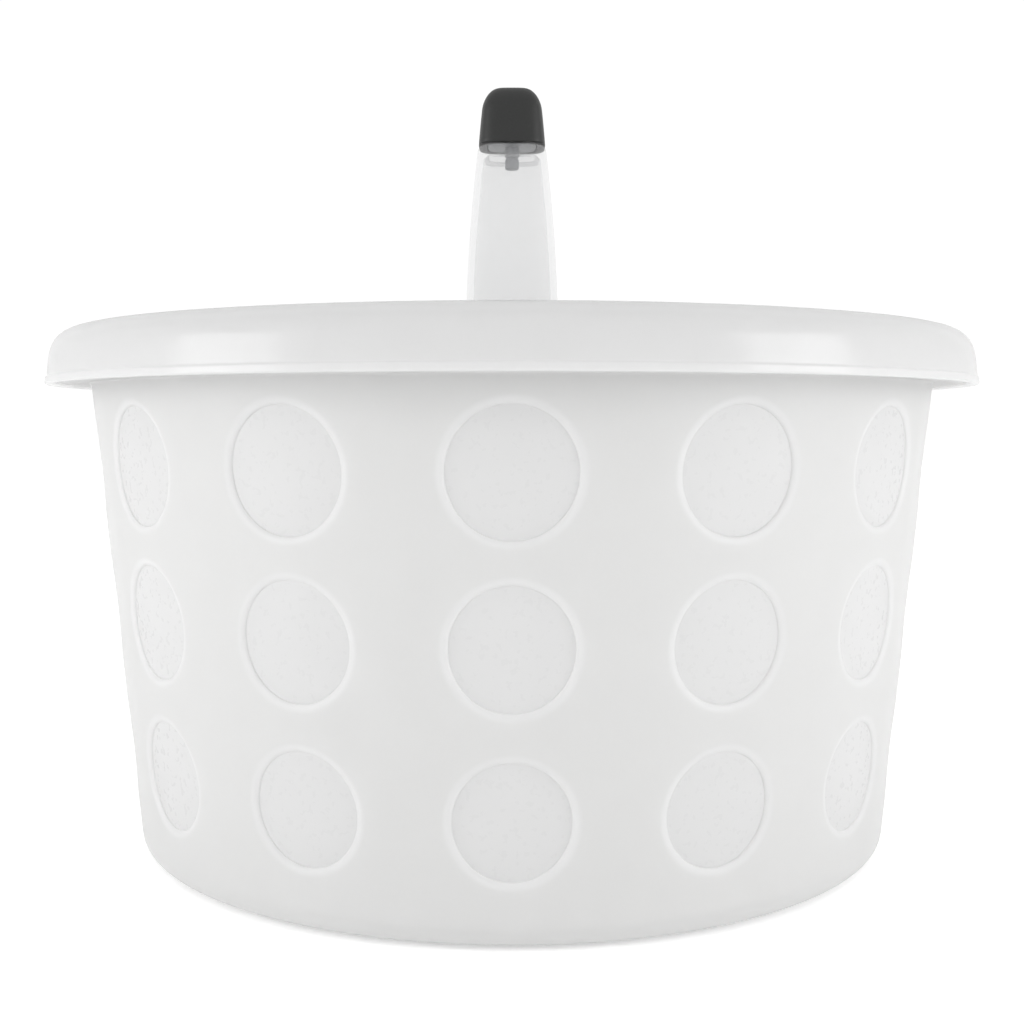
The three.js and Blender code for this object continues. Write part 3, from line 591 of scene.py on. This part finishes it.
def makeBowl():
    low, high = span("outer_bowl")
    cells, cellsHigh, cellsLow = windowCells()
    footLow, footHigh = span("foot_ring")
    footOuter = reach("foot_ring")
    footInner = footOuter - bowl["footWide"]
    floorTop = low + bowl["floor"]
    pivotBase, pivotTop, pivotHigh = bowl["pivot"]
    count = 16 * bowl["columns"]

    def inner(z):
        return wallAt(z) - bowl["wall"]

    profile = rounded(
        [
            (wallAt(cellsHigh), cellsHigh, 0),
            (wallAt(high - bowl["flange"]), high - bowl["flange"], 0.9),
            (reach("outer_bowl"), high - bowl["flange"], 0.8),
            (reach("outer_bowl"), high, 0.8),
            (inner(high), high, 0.8),
            (inner(floorTop), floorTop, bowl["corner"]),
            (pivotBase, floorTop, 1.5),
            (pivotTop, floorTop + pivotHigh, 1.2),
            (0, floorTop + pivotHigh, 0),
            (0, low, 0),
            (footInner - restGap, low, 0.3),
            (footInner - restGap, footHigh + restGap, 0.2),
            (footOuter + restGap, footHigh + restGap, 0.2),
            (footOuter + restGap, low, 0.3),
            (wallAt(low), low, bowl["corner"]),
            (wallAt(cellsLow), cellsLow, 0),
        ],
        steps=7,
    )
    split = int(np.argmin(np.hypot(profile[:, 0], profile[:, 1] - low)))
    halfStep = -0.5 * 2 * np.pi / count  # puts the lathe's points on the cells' own
    parts = (profile[:split], profile[split:])
    patches = [lofted(part, count=count, closed=False, turns=halfStep) for part in parts]
    mesh = meshOf("outer_bowl", cells + patches)
    addPiece("outer_bowl", mesh, "bowl", "frosted_plastic", finishes["frostedBowl"])
    ring = rounded(
        [
            (footInner, footLow, 0.8),
            (footOuter, footLow, 0.8),
            (footOuter, footHigh, 0.3),
            (footInner, footHigh, 0.3),
        ]
    )
    mesh = meshOf("foot_ring", [lofted(ring, count=192)])
    addPiece("foot_ring", mesh, "bowl", "silicone", finishes["silicone"])


makeBowl()
print("stage: bowl")

basket = {
    "sideGap": 9.0,
    "wall": 1.8,
    "corner": 6.0,
    "floorHeight": 17.5,
    "slots": 28,
    "slotHalf": 1.7,
    "slotMargin": 13.0,
    "floorSlots": 12,
    "floorSlotHalf": 2.0,
    "floorSlotInner": 22.0,
    "floorSlotOuter": 79.9,
    "rimOver": 4.8,
    "hub": (8.4, 10.4),  # inner and outer radius
    "steps": 168,
    "edgeRound": 0.3,
}


# Slotted sheet of the basket's outer faces, given its thickness afterwards. The wall is a ring of
# cells, each with its own tall slot; the floor is a ring of wedge cells with slots that point to
# the middle, every other one short.
def basketSheet():
    b = basket
    low, high = b["floorHeight"], span("inner_basket")[1]

    def outer(z):
        return wallAt(z) - bowl["wall"] - b["sideGap"]

    wallLow, wallHigh = low + b["slotMargin"] - 3, high - b["slotMargin"] + 3
    around = b["steps"] // b["slots"]
    pitch = 2 * np.pi / b["slots"]
    middle, half = (wallLow + wallHigh) / 2, (wallHigh - wallLow) / 2
    outline = boxOutline(pitch / 2, half, around, 18)
    slot = slotOutline(b["slotHalf"], half - 3, around, 18)
    slot[:, 0] /= outer(middle + slot[:, 1])
    share = np.array([0, 0.4, 0.8, 1])[:, None, None]
    ring = (1 - share) * outline + share * slot
    z = middle + ring[..., 1]
    patches = []
    for i in range(b["slots"]):
        angle = (i + 0.25) * pitch + ring[..., 0]
        points = np.stack([outer(z) * np.cos(angle), outer(z) * np.sin(angle), z], -1)
        patches.append((points.reshape(-1, 3), gridQuads(4, ring.shape[1], closeColumns=True)))

    wedges = 2 * b["floorSlots"]
    around = b["steps"] // wedges
    pitch = 2 * np.pi / wedges
    inner, edge = b["floorSlotInner"] - 2, b["floorSlotOuter"] + 3
    outline = boxOutline(pitch / 2, (edge - inner) / 2, around, 18)
    radius = (inner + edge) / 2 + outline[:, 1]
    wedge = np.stack([radius * np.sin(outline[:, 0]), radius * np.cos(outline[:, 0])], -1)
    for i in range(wedges):
        start = b["floorSlotInner"]
        if i % 2:
            start = (start + b["floorSlotOuter"]) / 2
        halfLong = (b["floorSlotOuter"] - start) / 2
        slot = slotOutline(b["floorSlotHalf"], halfLong, around, 18) + [0, start + halfLong]
        ring = (1 - share) * wedge + share * slot
        angle = i * pitch
        across = ring[..., 1] * np.cos(angle) + ring[..., 0] * np.sin(angle)
        along = ring[..., 1] * np.sin(angle) - ring[..., 0] * np.cos(angle)
        points = np.stack([across, along, np.full(across.shape, low)], -1)
        patches.append((points.reshape(-1, 3), gridQuads(4, ring.shape[1], closeColumns=True)))

    rim, rimUnder = outer(high) + b["rimOver"] - b["wall"], high - b["wall"]
    middleDisc = [(0, low, 0), (inner, low, 0)]
    foot = [(edge, low, 0), (outer(low), low, b["corner"]), (outer(wallLow), wallLow, 0)]
    head = [(outer(wallHigh), wallHigh, 0), (outer(high), rimUnder, 1.4), (rim, rimUnder, 0)]
    for corners, steps in ((middleDisc, 1), (foot, 8), (head, 6)):
        patches.append(lofted(rounded(corners, steps), count=b["steps"], closed=False))
    return patches


def makeBasket():
    sheet = meshOf("basketSheet", basketSheet())

    def thicken(holder):
        wall = holder.modifiers.new("wall", "SOLIDIFY")
        wall.thickness, wall.offset = basket["wall"] * mm, 1
        bevelled(holder, basket["edgeRound"], 50)

    shell = applied(sheet, thicken)
    hubLow, (hubInner, hubOuter) = span("inner_basket")[0], basket["hub"]
    hubHigh = basket["floorHeight"] + 0.4
    hub = [
        (hubInner, hubLow, 0.4),
        (hubOuter, hubLow, 0.4),
        (hubOuter, hubHigh, 0),
        (hubInner, hubHigh, 0),
    ]
    mesh = combined(shell, [meshOf("hub", [lofted(rounded(hub), count=96)])], "UNION")
    addPiece("inner_basket", mesh, "basket", "basket_plastic", finishes["frosted"])
    bushLow, bushHigh = span("pivot_bush")
    bush = reach("pivot_bush")
    bore, top = bowl["pivot"][0] + restGap, bushHigh - 1.8
    profile = rounded(
        [
            (0, top, 0),
            (bore - 1.5, top, 0.8),
            (bore, bushLow, 0.3),
            (bush, bushLow, 0.5),
            (bush, bushHigh, 0.8),
            (0, bushHigh, 0),
        ]
    )
    mesh = meshOf("pivot_bush", [lofted(profile, count=72, closed=False)])
    addPiece("pivot_bush", mesh, "bush", "white_plastic", finishes["white"])


makeBasket()
print("stage: basket")

lid = {
    "wall": 2.0,
    "skirtDrop": 2.7,  # skirt's lower edge below the bowl's rim
    "bead": 1.8,
    "plateDrop": 2.8,  # flat plate below the shoulder's crest
    "plugDepth": 17.0,
    "restRadius": 122.7,  # rib that rests on the bowl's rim
    "bore": 18.6,
}
cover = {"high": 4.5, "wall": 2.0, "opening": 14.0, "collar": 4.5}
housing = {"outer": 20.8, "seat": 6.8}  # tube, and the hole that holds the bearing
lock = {"leg": (27.0, 29.0), "half": 3.0, "travel": 5.0, "room": 0.5}
brake = {"centre": -39.0, "stem": 3.0, "pad": 5.5, "room": 0.5}
screw = {"circle": 24.5, "hole": 2.0}


# closed tools that cut the lock's slot, the brake's hole and round holes on the screws' circle
def lidCutters(low, high, brakeHole, screwHoles):
    left, right = lock["leg"][0] - lock["travel"] - lock["room"], lock["leg"][1] + lock["room"]
    wide = lock["half"] + lock["room"]
    slot = [(left, -wide, 0.8), (right, -wide, 0.8), (right, wide, 0.8), (left, wide, 0.8)]
    tools = [prism("slot", slot, low, high, along=2)]
    places = [(brake["centre"], 0, brakeHole)]
    for i in range(4 if screwHoles else 0):
        angle = math.pi * (2 * i + 1) / 4
        places.append((screw["circle"] * math.cos(angle), screw["circle"] * math.sin(angle), screw["hole"]))
    for x, y, radius in places:
        profile = [(0, low), (radius, low), (radius, high), (0, high)]
        tools.append(meshOf("hole", [lofted(profile, count=48, closed=False, centre=(x, y))]))
    return tools


def makeLid():
    top, outer = span("lid_shell")[1], reach("lid_shell")
    skirtLow = span("outer_bowl")[1] - lid["skirtDrop"]
    wall = lid["wall"]
    plate = top - lid["plateDrop"]
    under = plate - wall
    plugLow = under - lid["plugDepth"]
    sealLow, sealHigh = span("lid_seal")
    seal = reach("lid_seal")
    plug = seal - 2.2
    rest = lid["restRadius"]
    profile = rounded(
        [
            (outer - wall, skirtLow, 0.7),
            (outer, skirtLow, 0.6),
            (outer, skirtLow + lid["bead"], 0.3),
            (outer - 0.45, skirtLow + lid["bead"] + 0.4, 0.25),
            (outer - 1.5, top - 0.45, 8.0),
            (outer - 13, top + 0.1, 3.0),
            (outer - 18.6, plate, 2.6),
            (lid["bore"], plate, 0.3),
            (lid["bore"], under, 0.3),
            (plug - wall, under, 0.8),
            (plug - wall, plugLow, 0.5),
            (plug, plugLow, 0.5),
            (plug, under, 0.8),
            (plug + 4, top - wall - 0.2, 1.0),
            (rest - wall, top - wall, 0.6),
            (rest - wall, skirtLow + 3, 0.5),
            (rest, skirtLow + 3, 0.5),
            (rest, top - wall - 0.8, 0.6),
            (outer - 3.6, top - wall - 2.1, 4.0),
        ],
        steps=8,
    )
    shell = meshOf("lid_shell", [lofted(profile, count=240)])
    cut = combined(shell, lidCutters(under - 1, plate + 1, brake["stem"] + brake["room"], True))
    addPiece("lid_shell", cut, "lid", "frosted_plastic", finishes["frostedLid"])

    waist = seal - 0.8
    lips = rounded(
        [
            (plug + restGap, sealLow, 0.3),
            (seal - 0.2, sealLow, 0.5),
            (seal, sealLow + 0.9, 0.4),
            (waist, (sealLow + sealHigh) / 2, 0.7),
            (seal, sealHigh - 0.9, 0.4),
            (seal - 0.2, sealHigh, 0.5),
            (plug + restGap, sealHigh, 0.3),
        ]
    )
    mesh = meshOf("lid_seal", [lofted(lips, count=240)])
    addPiece("lid_seal", mesh, "lid", "silicone", finishes["silicone"])


# Cover: round outside, and round where its sleeve goes down, with a rounded-square opening for
# the handle, so the sections' power goes from 2 to 4 between them
def makeCover():
    low, top = span("top_cover")
    edge, inside = reach("top_cover"), top - cover["wall"]
    coverLow = top - cover["high"] + restGap
    sleeve, opening = lid["bore"] - restGap, cover["opening"]
    corners = [
        (opening, low, 0.5, 4),
        (sleeve, low, 0.5, 2),
        (sleeve, inside, 0.8, 2),
        (edge - 5, inside, 1.5, 2),
        (edge - 2, coverLow, 0.4, 2),
        (edge, coverLow, 0.5, 2),
        (edge - 0.6, top - 1.8, 1.4, 2),
        (edge - 5, top, 2.0, 2),
        (opening + cover["collar"], top, 0.4, 2.4),
        (opening, top, 0.8, 4),
    ]
    line = rounded([corner[:3] for corner in corners], steps=6)
    powers = np.repeat([corner[3] for corner in corners], 9)
    shell = meshOf("top_cover", [lofted(line, powers, count=200)])
    brakeHole = span("brake_button", 1)[1] + brake["room"]
    cut = combined(shell, lidCutters(coverLow - 1, top + 1, brakeHole, False))
    mesh = applied(cut, lambda holder: bevelled(holder, 0.35, 60))
    addPiece("top_cover", mesh, "lid", "cover_plastic", finishes["frosted"])


# round pieces of the drive: corners of the section (radius, height, fillet)
def turnedPieces():
    tubeLow, tubeHigh = span("mechanism_housing")
    flange = reach("mechanism_housing")
    tube, bore, seat = housing["outer"], lid["bore"], housing["seat"]
    low, high = span("retainer_ring")
    ring = reach("retainer_ring")
    bushLow, bushHigh = span("spindle_bearing")
    washLow, washHigh = span("thrust_washer")
    gripLow, gripHigh = span("grip_ring")
    grip = reach("grip_ring")
    return (
        (
            "mechanism_housing",
            "lid",
            "white_plastic",
            "white",
            [
                (seat, tubeLow, 0.2),
                (tube, tubeLow, 0.6),
                (tube, tubeHigh - 2, 0.6),
                (flange, tubeHigh - 2, 0.4),
                (flange, tubeHigh, 0.3),
                (bore, tubeHigh, 0.4),
                (bore, tubeLow + 2.5, 0.8),
                (seat, tubeLow + 2.5, 0.2),
            ],
        ),
        (
            "retainer_ring",
            "lid",
            "white_plastic",
            "white",
            [
                (tube + restGap, low, 0.3),
                (ring, low, 0.8),
                (ring, high, 0.4),
                (tube + restGap, high, 0.3),
            ],
        ),
        (
            "spindle_bearing",
            "lid",
            "white_plastic",
            "white",
            [
                (4.3, bushLow, 0.2),
                (6.5, bushLow, 0.3),
                (6.5, bushHigh - 1.2, 0.2),
                (reach("spindle_bearing"), bushHigh - 1.2, 0.2),
                (reach("spindle_bearing"), bushHigh, 0.4),
                (4.3, bushHigh, 0.3),
            ],
        ),
        (
            "thrust_washer",
            "spindle",
            "steel",
            "steel",
            [(4.3, washLow, 0.1), (8, washLow, 0.15), (8, washHigh, 0.15), (4.3, washHigh, 0.1)],
        ),
        (
            "grip_ring",
            "driver",
            "silicone",
            "silicone",
            [
                (grip - 3, gripLow, 0.6),
                (grip, gripLow, 0.6),
                (grip, gripHigh, 0.2),
                (grip - 3, gripHigh, 0.2),
            ],
        ),
    )


# slot in the housing's wall and flange for the lock's leg and tongue
def housingCutters():
    tubeHigh = span("mechanism_housing")[1]
    low, high = span("lock_slider")[0] - lock["room"], span("lock_slider")[0] + 3 + lock["room"]
    left, right = lock["leg"][0] - lock["travel"] - lock["room"], lock["leg"][1] + lock["room"]
    wide = lock["half"] + lock["room"]
    window = [(10, low, 0), (24, low, 0), (24, high, 0), (10, high, 0)]
    slotLow, slotHigh = tubeHigh - 3, tubeHigh + 1
    slot = [(left, slotLow, 0), (right, slotLow, 0), (right, slotHigh, 0), (left, slotHigh, 0)]
    return [prism("cutter", outline, -wide, wide) for outline in (window, slot)]


makeLid()
makeCover()
for name, body, slot, finish, corners in turnedPieces():
    mesh = meshOf(name, [lofted(rounded(corners), count=144)])
    if name == "mechanism_housing":
        mesh = combined(mesh, housingCutters())
    addPiece(name, mesh, body, slot, finishes[finish])
print("stage: lid and cover")

handle = {
    "top": 9.9,
    "base": 13.5,
    "taper": 1.9,
    "wall": 2.0,
    "plate": 2.5,
    "flange": 3.0,
    "hole": 2.45,
    "power": 4.0,
    "rise": 58.0,
}
cap = {"inset": 0.2, "lean": 1.6, "crown": 0.38, "top": 4.0, "skin": 2.4}


# half width of the post at a height: straight below the lid's plate, then narrowing by a power
def halfAt(z):
    rise = np.clip((z - span("pump_handle")[1] + handle["rise"]) / handle["rise"], 0, 1)
    return handle["base"] - (handle["base"] - handle["top"]) * rise ** handle["taper"]


def makeHandle():
    low, high = span("pump_handle")
    stop = reach("pump_handle")
    wall, plate = handle["wall"], handle["plate"]
    square = handle["power"]
    levels = np.linspace(low + handle["flange"] + 0.8, high - 1.4, 34)
    outer = np.stack([halfAt(levels), levels], -1)
    inside = np.linspace(high - plate - 1.2, low, 34)
    inner = np.stack([halfAt(inside) - wall, inside], -1)
    turn = np.linspace(0, np.pi / 2, 7)
    falling, rising = 1.2 * (1 - np.cos(turn)), 1.2 * (1 - np.sin(turn))  # rounded edges
    edge = np.stack([handle["top"] - falling, high - rising], -1)
    ceiling = np.stack([halfAt(high) - wall - rising, high - plate - falling], -1)
    hole = handle["hole"]
    base = halfAt(low)
    flangeTop, under = low + handle["flange"], high - plate
    flange = [(base - wall, low, 0), (stop, low, 0.5), (stop, flangeTop, 0.5), (base + 0.8, flangeTop, 0)]
    parts = [
        (rounded(flange)[1:-1], 2),
        ([(base + 0.8, flangeTop), (base + 0.25, flangeTop + 0.25)], square),
        (outer, square),
        (edge, square),
        ([(6, high)], 2.8),
        ([(hole + 0.4, high), (hole, high - 0.4), (hole, under + 0.3), (hole + 0.3, under)], 2),
        ([(5, under)], 2.8),
        (ceiling[::-1], square),
        (inner, square),
    ]
    line = np.concatenate([np.asarray(points, float) for points, power in parts])
    powers = np.concatenate([np.full(len(points), float(power)) for points, power in parts])
    mesh = meshOf("pump_handle", [lofted(line, powers, count=144)])
    addPiece("pump_handle", mesh, "plunger", "clear_plastic", finishes["clear"])


# half width of the cap at a share of its height: a lean that grows with height, then a
# quarter ellipse over the crown
def capHalf(share):
    lean = handle["top"] - cap["inset"] - cap["lean"] * share**1.2
    over = np.maximum(0, share - 1 + cap["crown"]) / cap["crown"]
    return lean - (lean - cap["top"]) * (1 - np.sqrt(np.maximum(0, 1 - over**2)))


def makeCap():
    low, high = span("grip_cap")
    tall = high - low
    square = handle["power"]
    turn = np.linspace(0.1, np.pi / 2, 16)
    share = np.concatenate([np.linspace(0.02, 0.61, 13), 1 - cap["crown"] * (1 - np.sin(turn))])
    side = np.stack([capHalf(share), low + tall * share], -1)
    inside = handle["top"] - cap["inset"] - cap["skin"]
    ceiling = high - 2 * cap["skin"]
    crown = [(3.1, high + 0.02), (2.1, high + 0.04), (1, high + 0.05), (0, high + 0.05)]
    hollow = [(0, ceiling), (inside - 1, ceiling), (inside, ceiling - 1), (inside, low + 0.3)]
    lipped = [(inside + 0.2, low), (side[0, 0] - 0.35, low), (side[0, 0] - 0.08, low + 0.12)]
    line = np.concatenate([hollow, lipped, side, crown])
    powers = np.full(len(line), square)
    powers[-4:] = (3.4, 2.8, 2.2, 2)
    mesh = meshOf("grip_cap", [lofted(line, powers, count=160, closed=False)], sharpAngle=50)
    addPiece("grip_cap", mesh, "plunger", "soft_grip", finishes["soft"])

    peg, pegLow = 2.05, span("cap_core")[0]
    core = inside - restGap
    line = [
        (0, pegLow),
        (peg - 0.5, pegLow),
        (peg - 0.12, pegLow + 0.2),
        (peg, pegLow + 0.6),
        (peg, pegLow + 2.9),
        (peg - 0.35, pegLow + 3.1),
        (peg - 0.35, pegLow + 3.5),
        (peg, pegLow + 3.7),
        (peg, low - 0.02),
        (core - 0.3, low),
        (core, low + 0.3),
        (core, span("cap_core")[1] - 0.5),
        (core - 0.5, span("cap_core")[1]),
        (0, span("cap_core")[1]),
    ]
    powers = np.array([2.0] * 9 + [square] * 4 + [2])
    mesh = meshOf("cap_core", [lofted(line, powers, count=96, closed=False)])
    addPiece("cap_core", mesh, "plunger", "grey_plastic", finishes["grey"])


makeHandle()
makeCap()
print("stage: handle")

rod = {"half": 3.5, "power": 9.0, "lead": 36.0, "journal": 4.0, "shoulder": 6.2, "shoulderHigh": 1.7}
drum = {"inner": 30.2, "outer": 32.2, "wall": 2.0, "teeth": 18, "depth": 2.2, "hole": 21.4}
returnSpring = {"radius": 10, "wire": 1.6, "turns": 7, "keep": 0.373}
brakeSpring = {"radius": 5, "wire": 0.7, "turns": 4, "keep": 0.45}


# Square rod twisted one turn in each lead: the section turns with its height
def makeRod():
    low, high = span("spiral_rod")
    bearingTop = span("spindle_bearing")[1] + restGap
    shoulderTop = bearingTop + rod["shoulderHigh"]
    levels = np.linspace(shoulderTop, high - 0.6, 150)
    journal = rod["journal"]
    parts = [
        ([(0, low), (journal - 0.4, low), (journal, low + 0.4), (journal, bearingTop)], 2),
        ([(rod["shoulder"], bearingTop), (rod["shoulder"], shoulderTop - 0.3)], 2),
        ([(rod["shoulder"] - 0.3, shoulderTop)], 2),
        (np.stack([np.full(150, rod["half"]), levels], -1), rod["power"]),
        ([(rod["half"] - 0.6, high), (0, high)], rod["power"]),
    ]
    line = np.concatenate([np.asarray(points, float) for points, power in parts])
    powers = np.concatenate([np.full(len(points), float(power)) for points, power in parts])
    turns = 2 * np.pi * line[:, 1] / rod["lead"]
    mesh = meshOf("spiral_rod", [lofted(line, powers, count=64, closed=False, turns=turns)], sharpAngle=50)
    addPiece("spiral_rod", mesh, "spindle", "steel", finishes["steel"])


def makeDriver():
    low, top = span("driver_disc")
    edge = reach("driver_disc")
    under = top - 2.2
    drumInner, drumOuter, hole = drum["inner"], drum["outer"], drum["hole"]
    grip = reach("grip_ring")
    gripInner, gripOuter = grip - 3 - restGap, grip + restGap
    ledge = span("retainer_ring")[1] + restGap
    profile = rounded(
        [
            (hole, ledge, 0.3),
            (drumInner, ledge, 0.6),
            (drumInner, low, 0.3),
            (drumOuter, low, 0.3),
            (drumOuter, under - 3.5, 3.0),
            (drumOuter + 5, under, 3.0),
            (gripInner, under, 0.2),
            (gripInner, under + 1, 0.2),
            (gripOuter, under + 1, 0.2),
            (gripOuter, under, 0.2),
            (edge, under, 0.3),
            (edge, top, 0.7),
            (drumOuter + 3, top, 2.0),
            (drumInner, top - 1.4, 0.8),
            (drumInner, ledge + 2.5, 0.8),
            (hole, ledge + 2.5, 0.4),
        ]
    )
    mesh = meshOf("driver_disc", [lofted(profile, count=216)])
    addPiece("driver_disc", mesh, "driver", "clear_plastic", finishes["clear"])

    # inside the cap's wall the radius rises along each tooth and drops back at its end
    capLow, capTop = span("drum_cap")
    outer = reach("drum_cap")
    count = drum["teeth"] * 16
    angle = (np.arange(count) + 0.5) * 2 * np.pi / count
    share = (angle / (2 * np.pi) * drum["teeth"]) % 1
    tooth = np.minimum(share / 0.9, (1 - share) / 0.1) * drum["depth"]
    tip = drumInner - restGap - drum["wall"] - drum["depth"]
    floor = capLow + drum["wall"]
    wall = drumInner - restGap
    rows = [(0, capLow), (outer - 0.4, capLow), (outer, capLow + 0.4), (outer, floor - 0.2)]
    rows += [(outer - 0.2, floor), (wall, floor), (wall, capTop - 0.3), (wall - 0.3, capTop)]
    plain = len(rows)
    rows += [(tip + 0.2, capTop), (tip, capTop - 0.2), (tip, floor), (0, floor)]
    rows = np.array(rows, float)
    radius = rows[:, :1] + 0 * angle
    radius[plain : plain + 3] += tooth
    z = rows[:, 1:] + 0 * angle
    points = np.stack([radius * np.cos(angle), radius * np.sin(angle), z], -1).reshape(-1, 3)
    mesh = meshOf("drum_cap", [(points, gridQuads(len(rows), count, closeColumns=True))])
    addPiece("drum_cap", mesh, "driver", "clear_plastic", finishes["clear"])


def makeSprings():
    low, high = span("return_spring")
    size = returnSpring
    wire = coil(size["radius"], size["wire"], low, high, size["turns"])
    mesh = meshOf("return_spring", [wire], sharpAngle=60)
    spring = addPiece("return_spring", mesh, "plunger", "steel", finishes["steel"])
    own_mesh(spring)
    low, high = span("brake_spring")
    size = brakeSpring
    points, quads = coil(size["radius"], size["wire"], low, high, size["turns"], dead=0.75)
    mesh = meshOf("brake_spring", [(points + [brake["centre"], 0, 0], quads)], sharpAngle=60)
    spring = addPiece("brake_spring", mesh, "brake", "steel", finishes["steel"])
    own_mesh(spring)


makeRod()
makeDriver()
makeSprings()
print("stage: drive")


def makeBrake():
    low, high = span("brake_button")
    padLow, padHigh = span("brake_pad")
    radius = span("brake_button", 1)[1]
    stem = brake["stem"]
    skirt = span("top_cover")[1] - 0.9
    inner = high - 2
    profile = rounded(
        [
            (0, low, 0),
            (stem, low, 0.3),
            (stem, inner, 0.5),
            (radius - 1.6, inner, 0.5),
            (radius - 1.6, skirt, 0.3),
            (radius, skirt, 0.3),
            (radius, high, 1.4),
            (radius - 3.2, high - 0.5, 1.0),
            (0, high - 0.9, 0),
        ]
    )
    centre = (brake["centre"], 0)
    mesh = meshOf("brake_button", [lofted(profile, count=96, closed=False, centre=centre)])
    addPiece("brake_button", mesh, "brake", "grey_plastic", finishes["grey"])
    pad = brake["pad"]
    profile = rounded(
        [
            (0, padLow, 0),
            (pad, padLow, 0.5),
            (pad, padHigh, 0.6),
            (stem + restGap, padHigh, 0.2),
            (stem + restGap, padHigh - 1.5, 0.1),
            (0, padHigh - 1.5, 0),
        ]
    )
    mesh = meshOf("brake_pad", [lofted(profile, count=72, closed=False, centre=centre)])
    addPiece("brake_pad", mesh, "brake", "silicone", finishes["silicone"])


# thumb piece with a dished, ribbed top, on a leg that ends in the tongue
def makeLock():
    low, high = span("lock_slider")
    near, far = span("lock_slider", 0)
    half = span("lock_slider", 1)[1]
    legLow, legHigh = lock["leg"]
    middle = (legLow + legHigh) / 2
    long = far - middle
    under = span("top_cover")[1] + restGap
    top = high - under
    ribs = 5
    flank = under + top * 0.7
    outline = [(middle - long, under, 0.3), (far, under, 0.3)]
    outline += [(far - 1.2, flank, 0.8), (far - 3.2, high, 0.6)]
    for i in range(ribs):
        x = middle + (ribs / 2 - i - 0.5) * 1.7
        dip = 1.0 - 0.9 * abs(2 * (i + 0.5) / ribs - 1)
        outline += [(x + 0.5, high - dip, 0.15), (x + 0.25, high - dip + 0.45, 0.15)]
        outline += [(x - 0.25, high - dip + 0.45, 0.15), (x - 0.5, high - dip, 0.15)]
    outline += [(middle - long + 3.2, high, 0.6), (middle - long + 1.2, flank, 0.8)]
    thumb = prism("thumb", outline, -half, half)
    leg = [(near, low, 0.4), (legHigh, low, 0.4), (legHigh, under + 1, 0)]
    leg += [(legLow, under + 1, 0), (legLow, low + 3, 0.5), (near, low + 3, 0.4)]
    body = combined(thumb, [prism("leg", leg, -lock["half"], lock["half"])], "UNION")

    mesh = applied(body, lambda holder: bevelled(holder, 0.25, 60))
    addPiece("lock_slider", mesh, "lock", "grey_plastic", finishes["grey"])


makeBrake()
makeLock()
print("stage: brake and lock")

keptFinishes = {"drive_nut": "white", "clutch_rotor": "white"}
keptFinishes.update({f"cover_screw_{i}": "steel" for i in range(1, 5)})
for name, finish in keptFinishes.items():
    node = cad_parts[name]
    node.data.materials.clear()
    node.data.materials.append(finishes[finish])


def makeFloor():
    half = 4000
    corners = np.array([(-half, -half, 0), (half, -half, 0), (half, half, 0), (-half, half, 0)], float)
    mesh = bpy.data.meshes.new("floor")
    mesh.from_pydata((corners * mm).tolist(), [], [(0, 1, 2, 3)])
    f = Finish("floorPaint")
    color = f.between(f.cloud(300), lightSettings["floor"], (0.95, 0.95, 0.95))
    values = {"Base Color": color, "Roughness": 0.9}
    values.update({"Emission Color": (1, 1, 1, 1), "Emission Strength": lightSettings["floorGlow"]})
    mesh.materials.append(f.done(f.add("BsdfPrincipled", values=values)))
    floor = bpy.data.objects.new("floor", mesh)
    bpy.context.scene.collection.objects.link(floor)


makeFloor()
print("stage: floor")
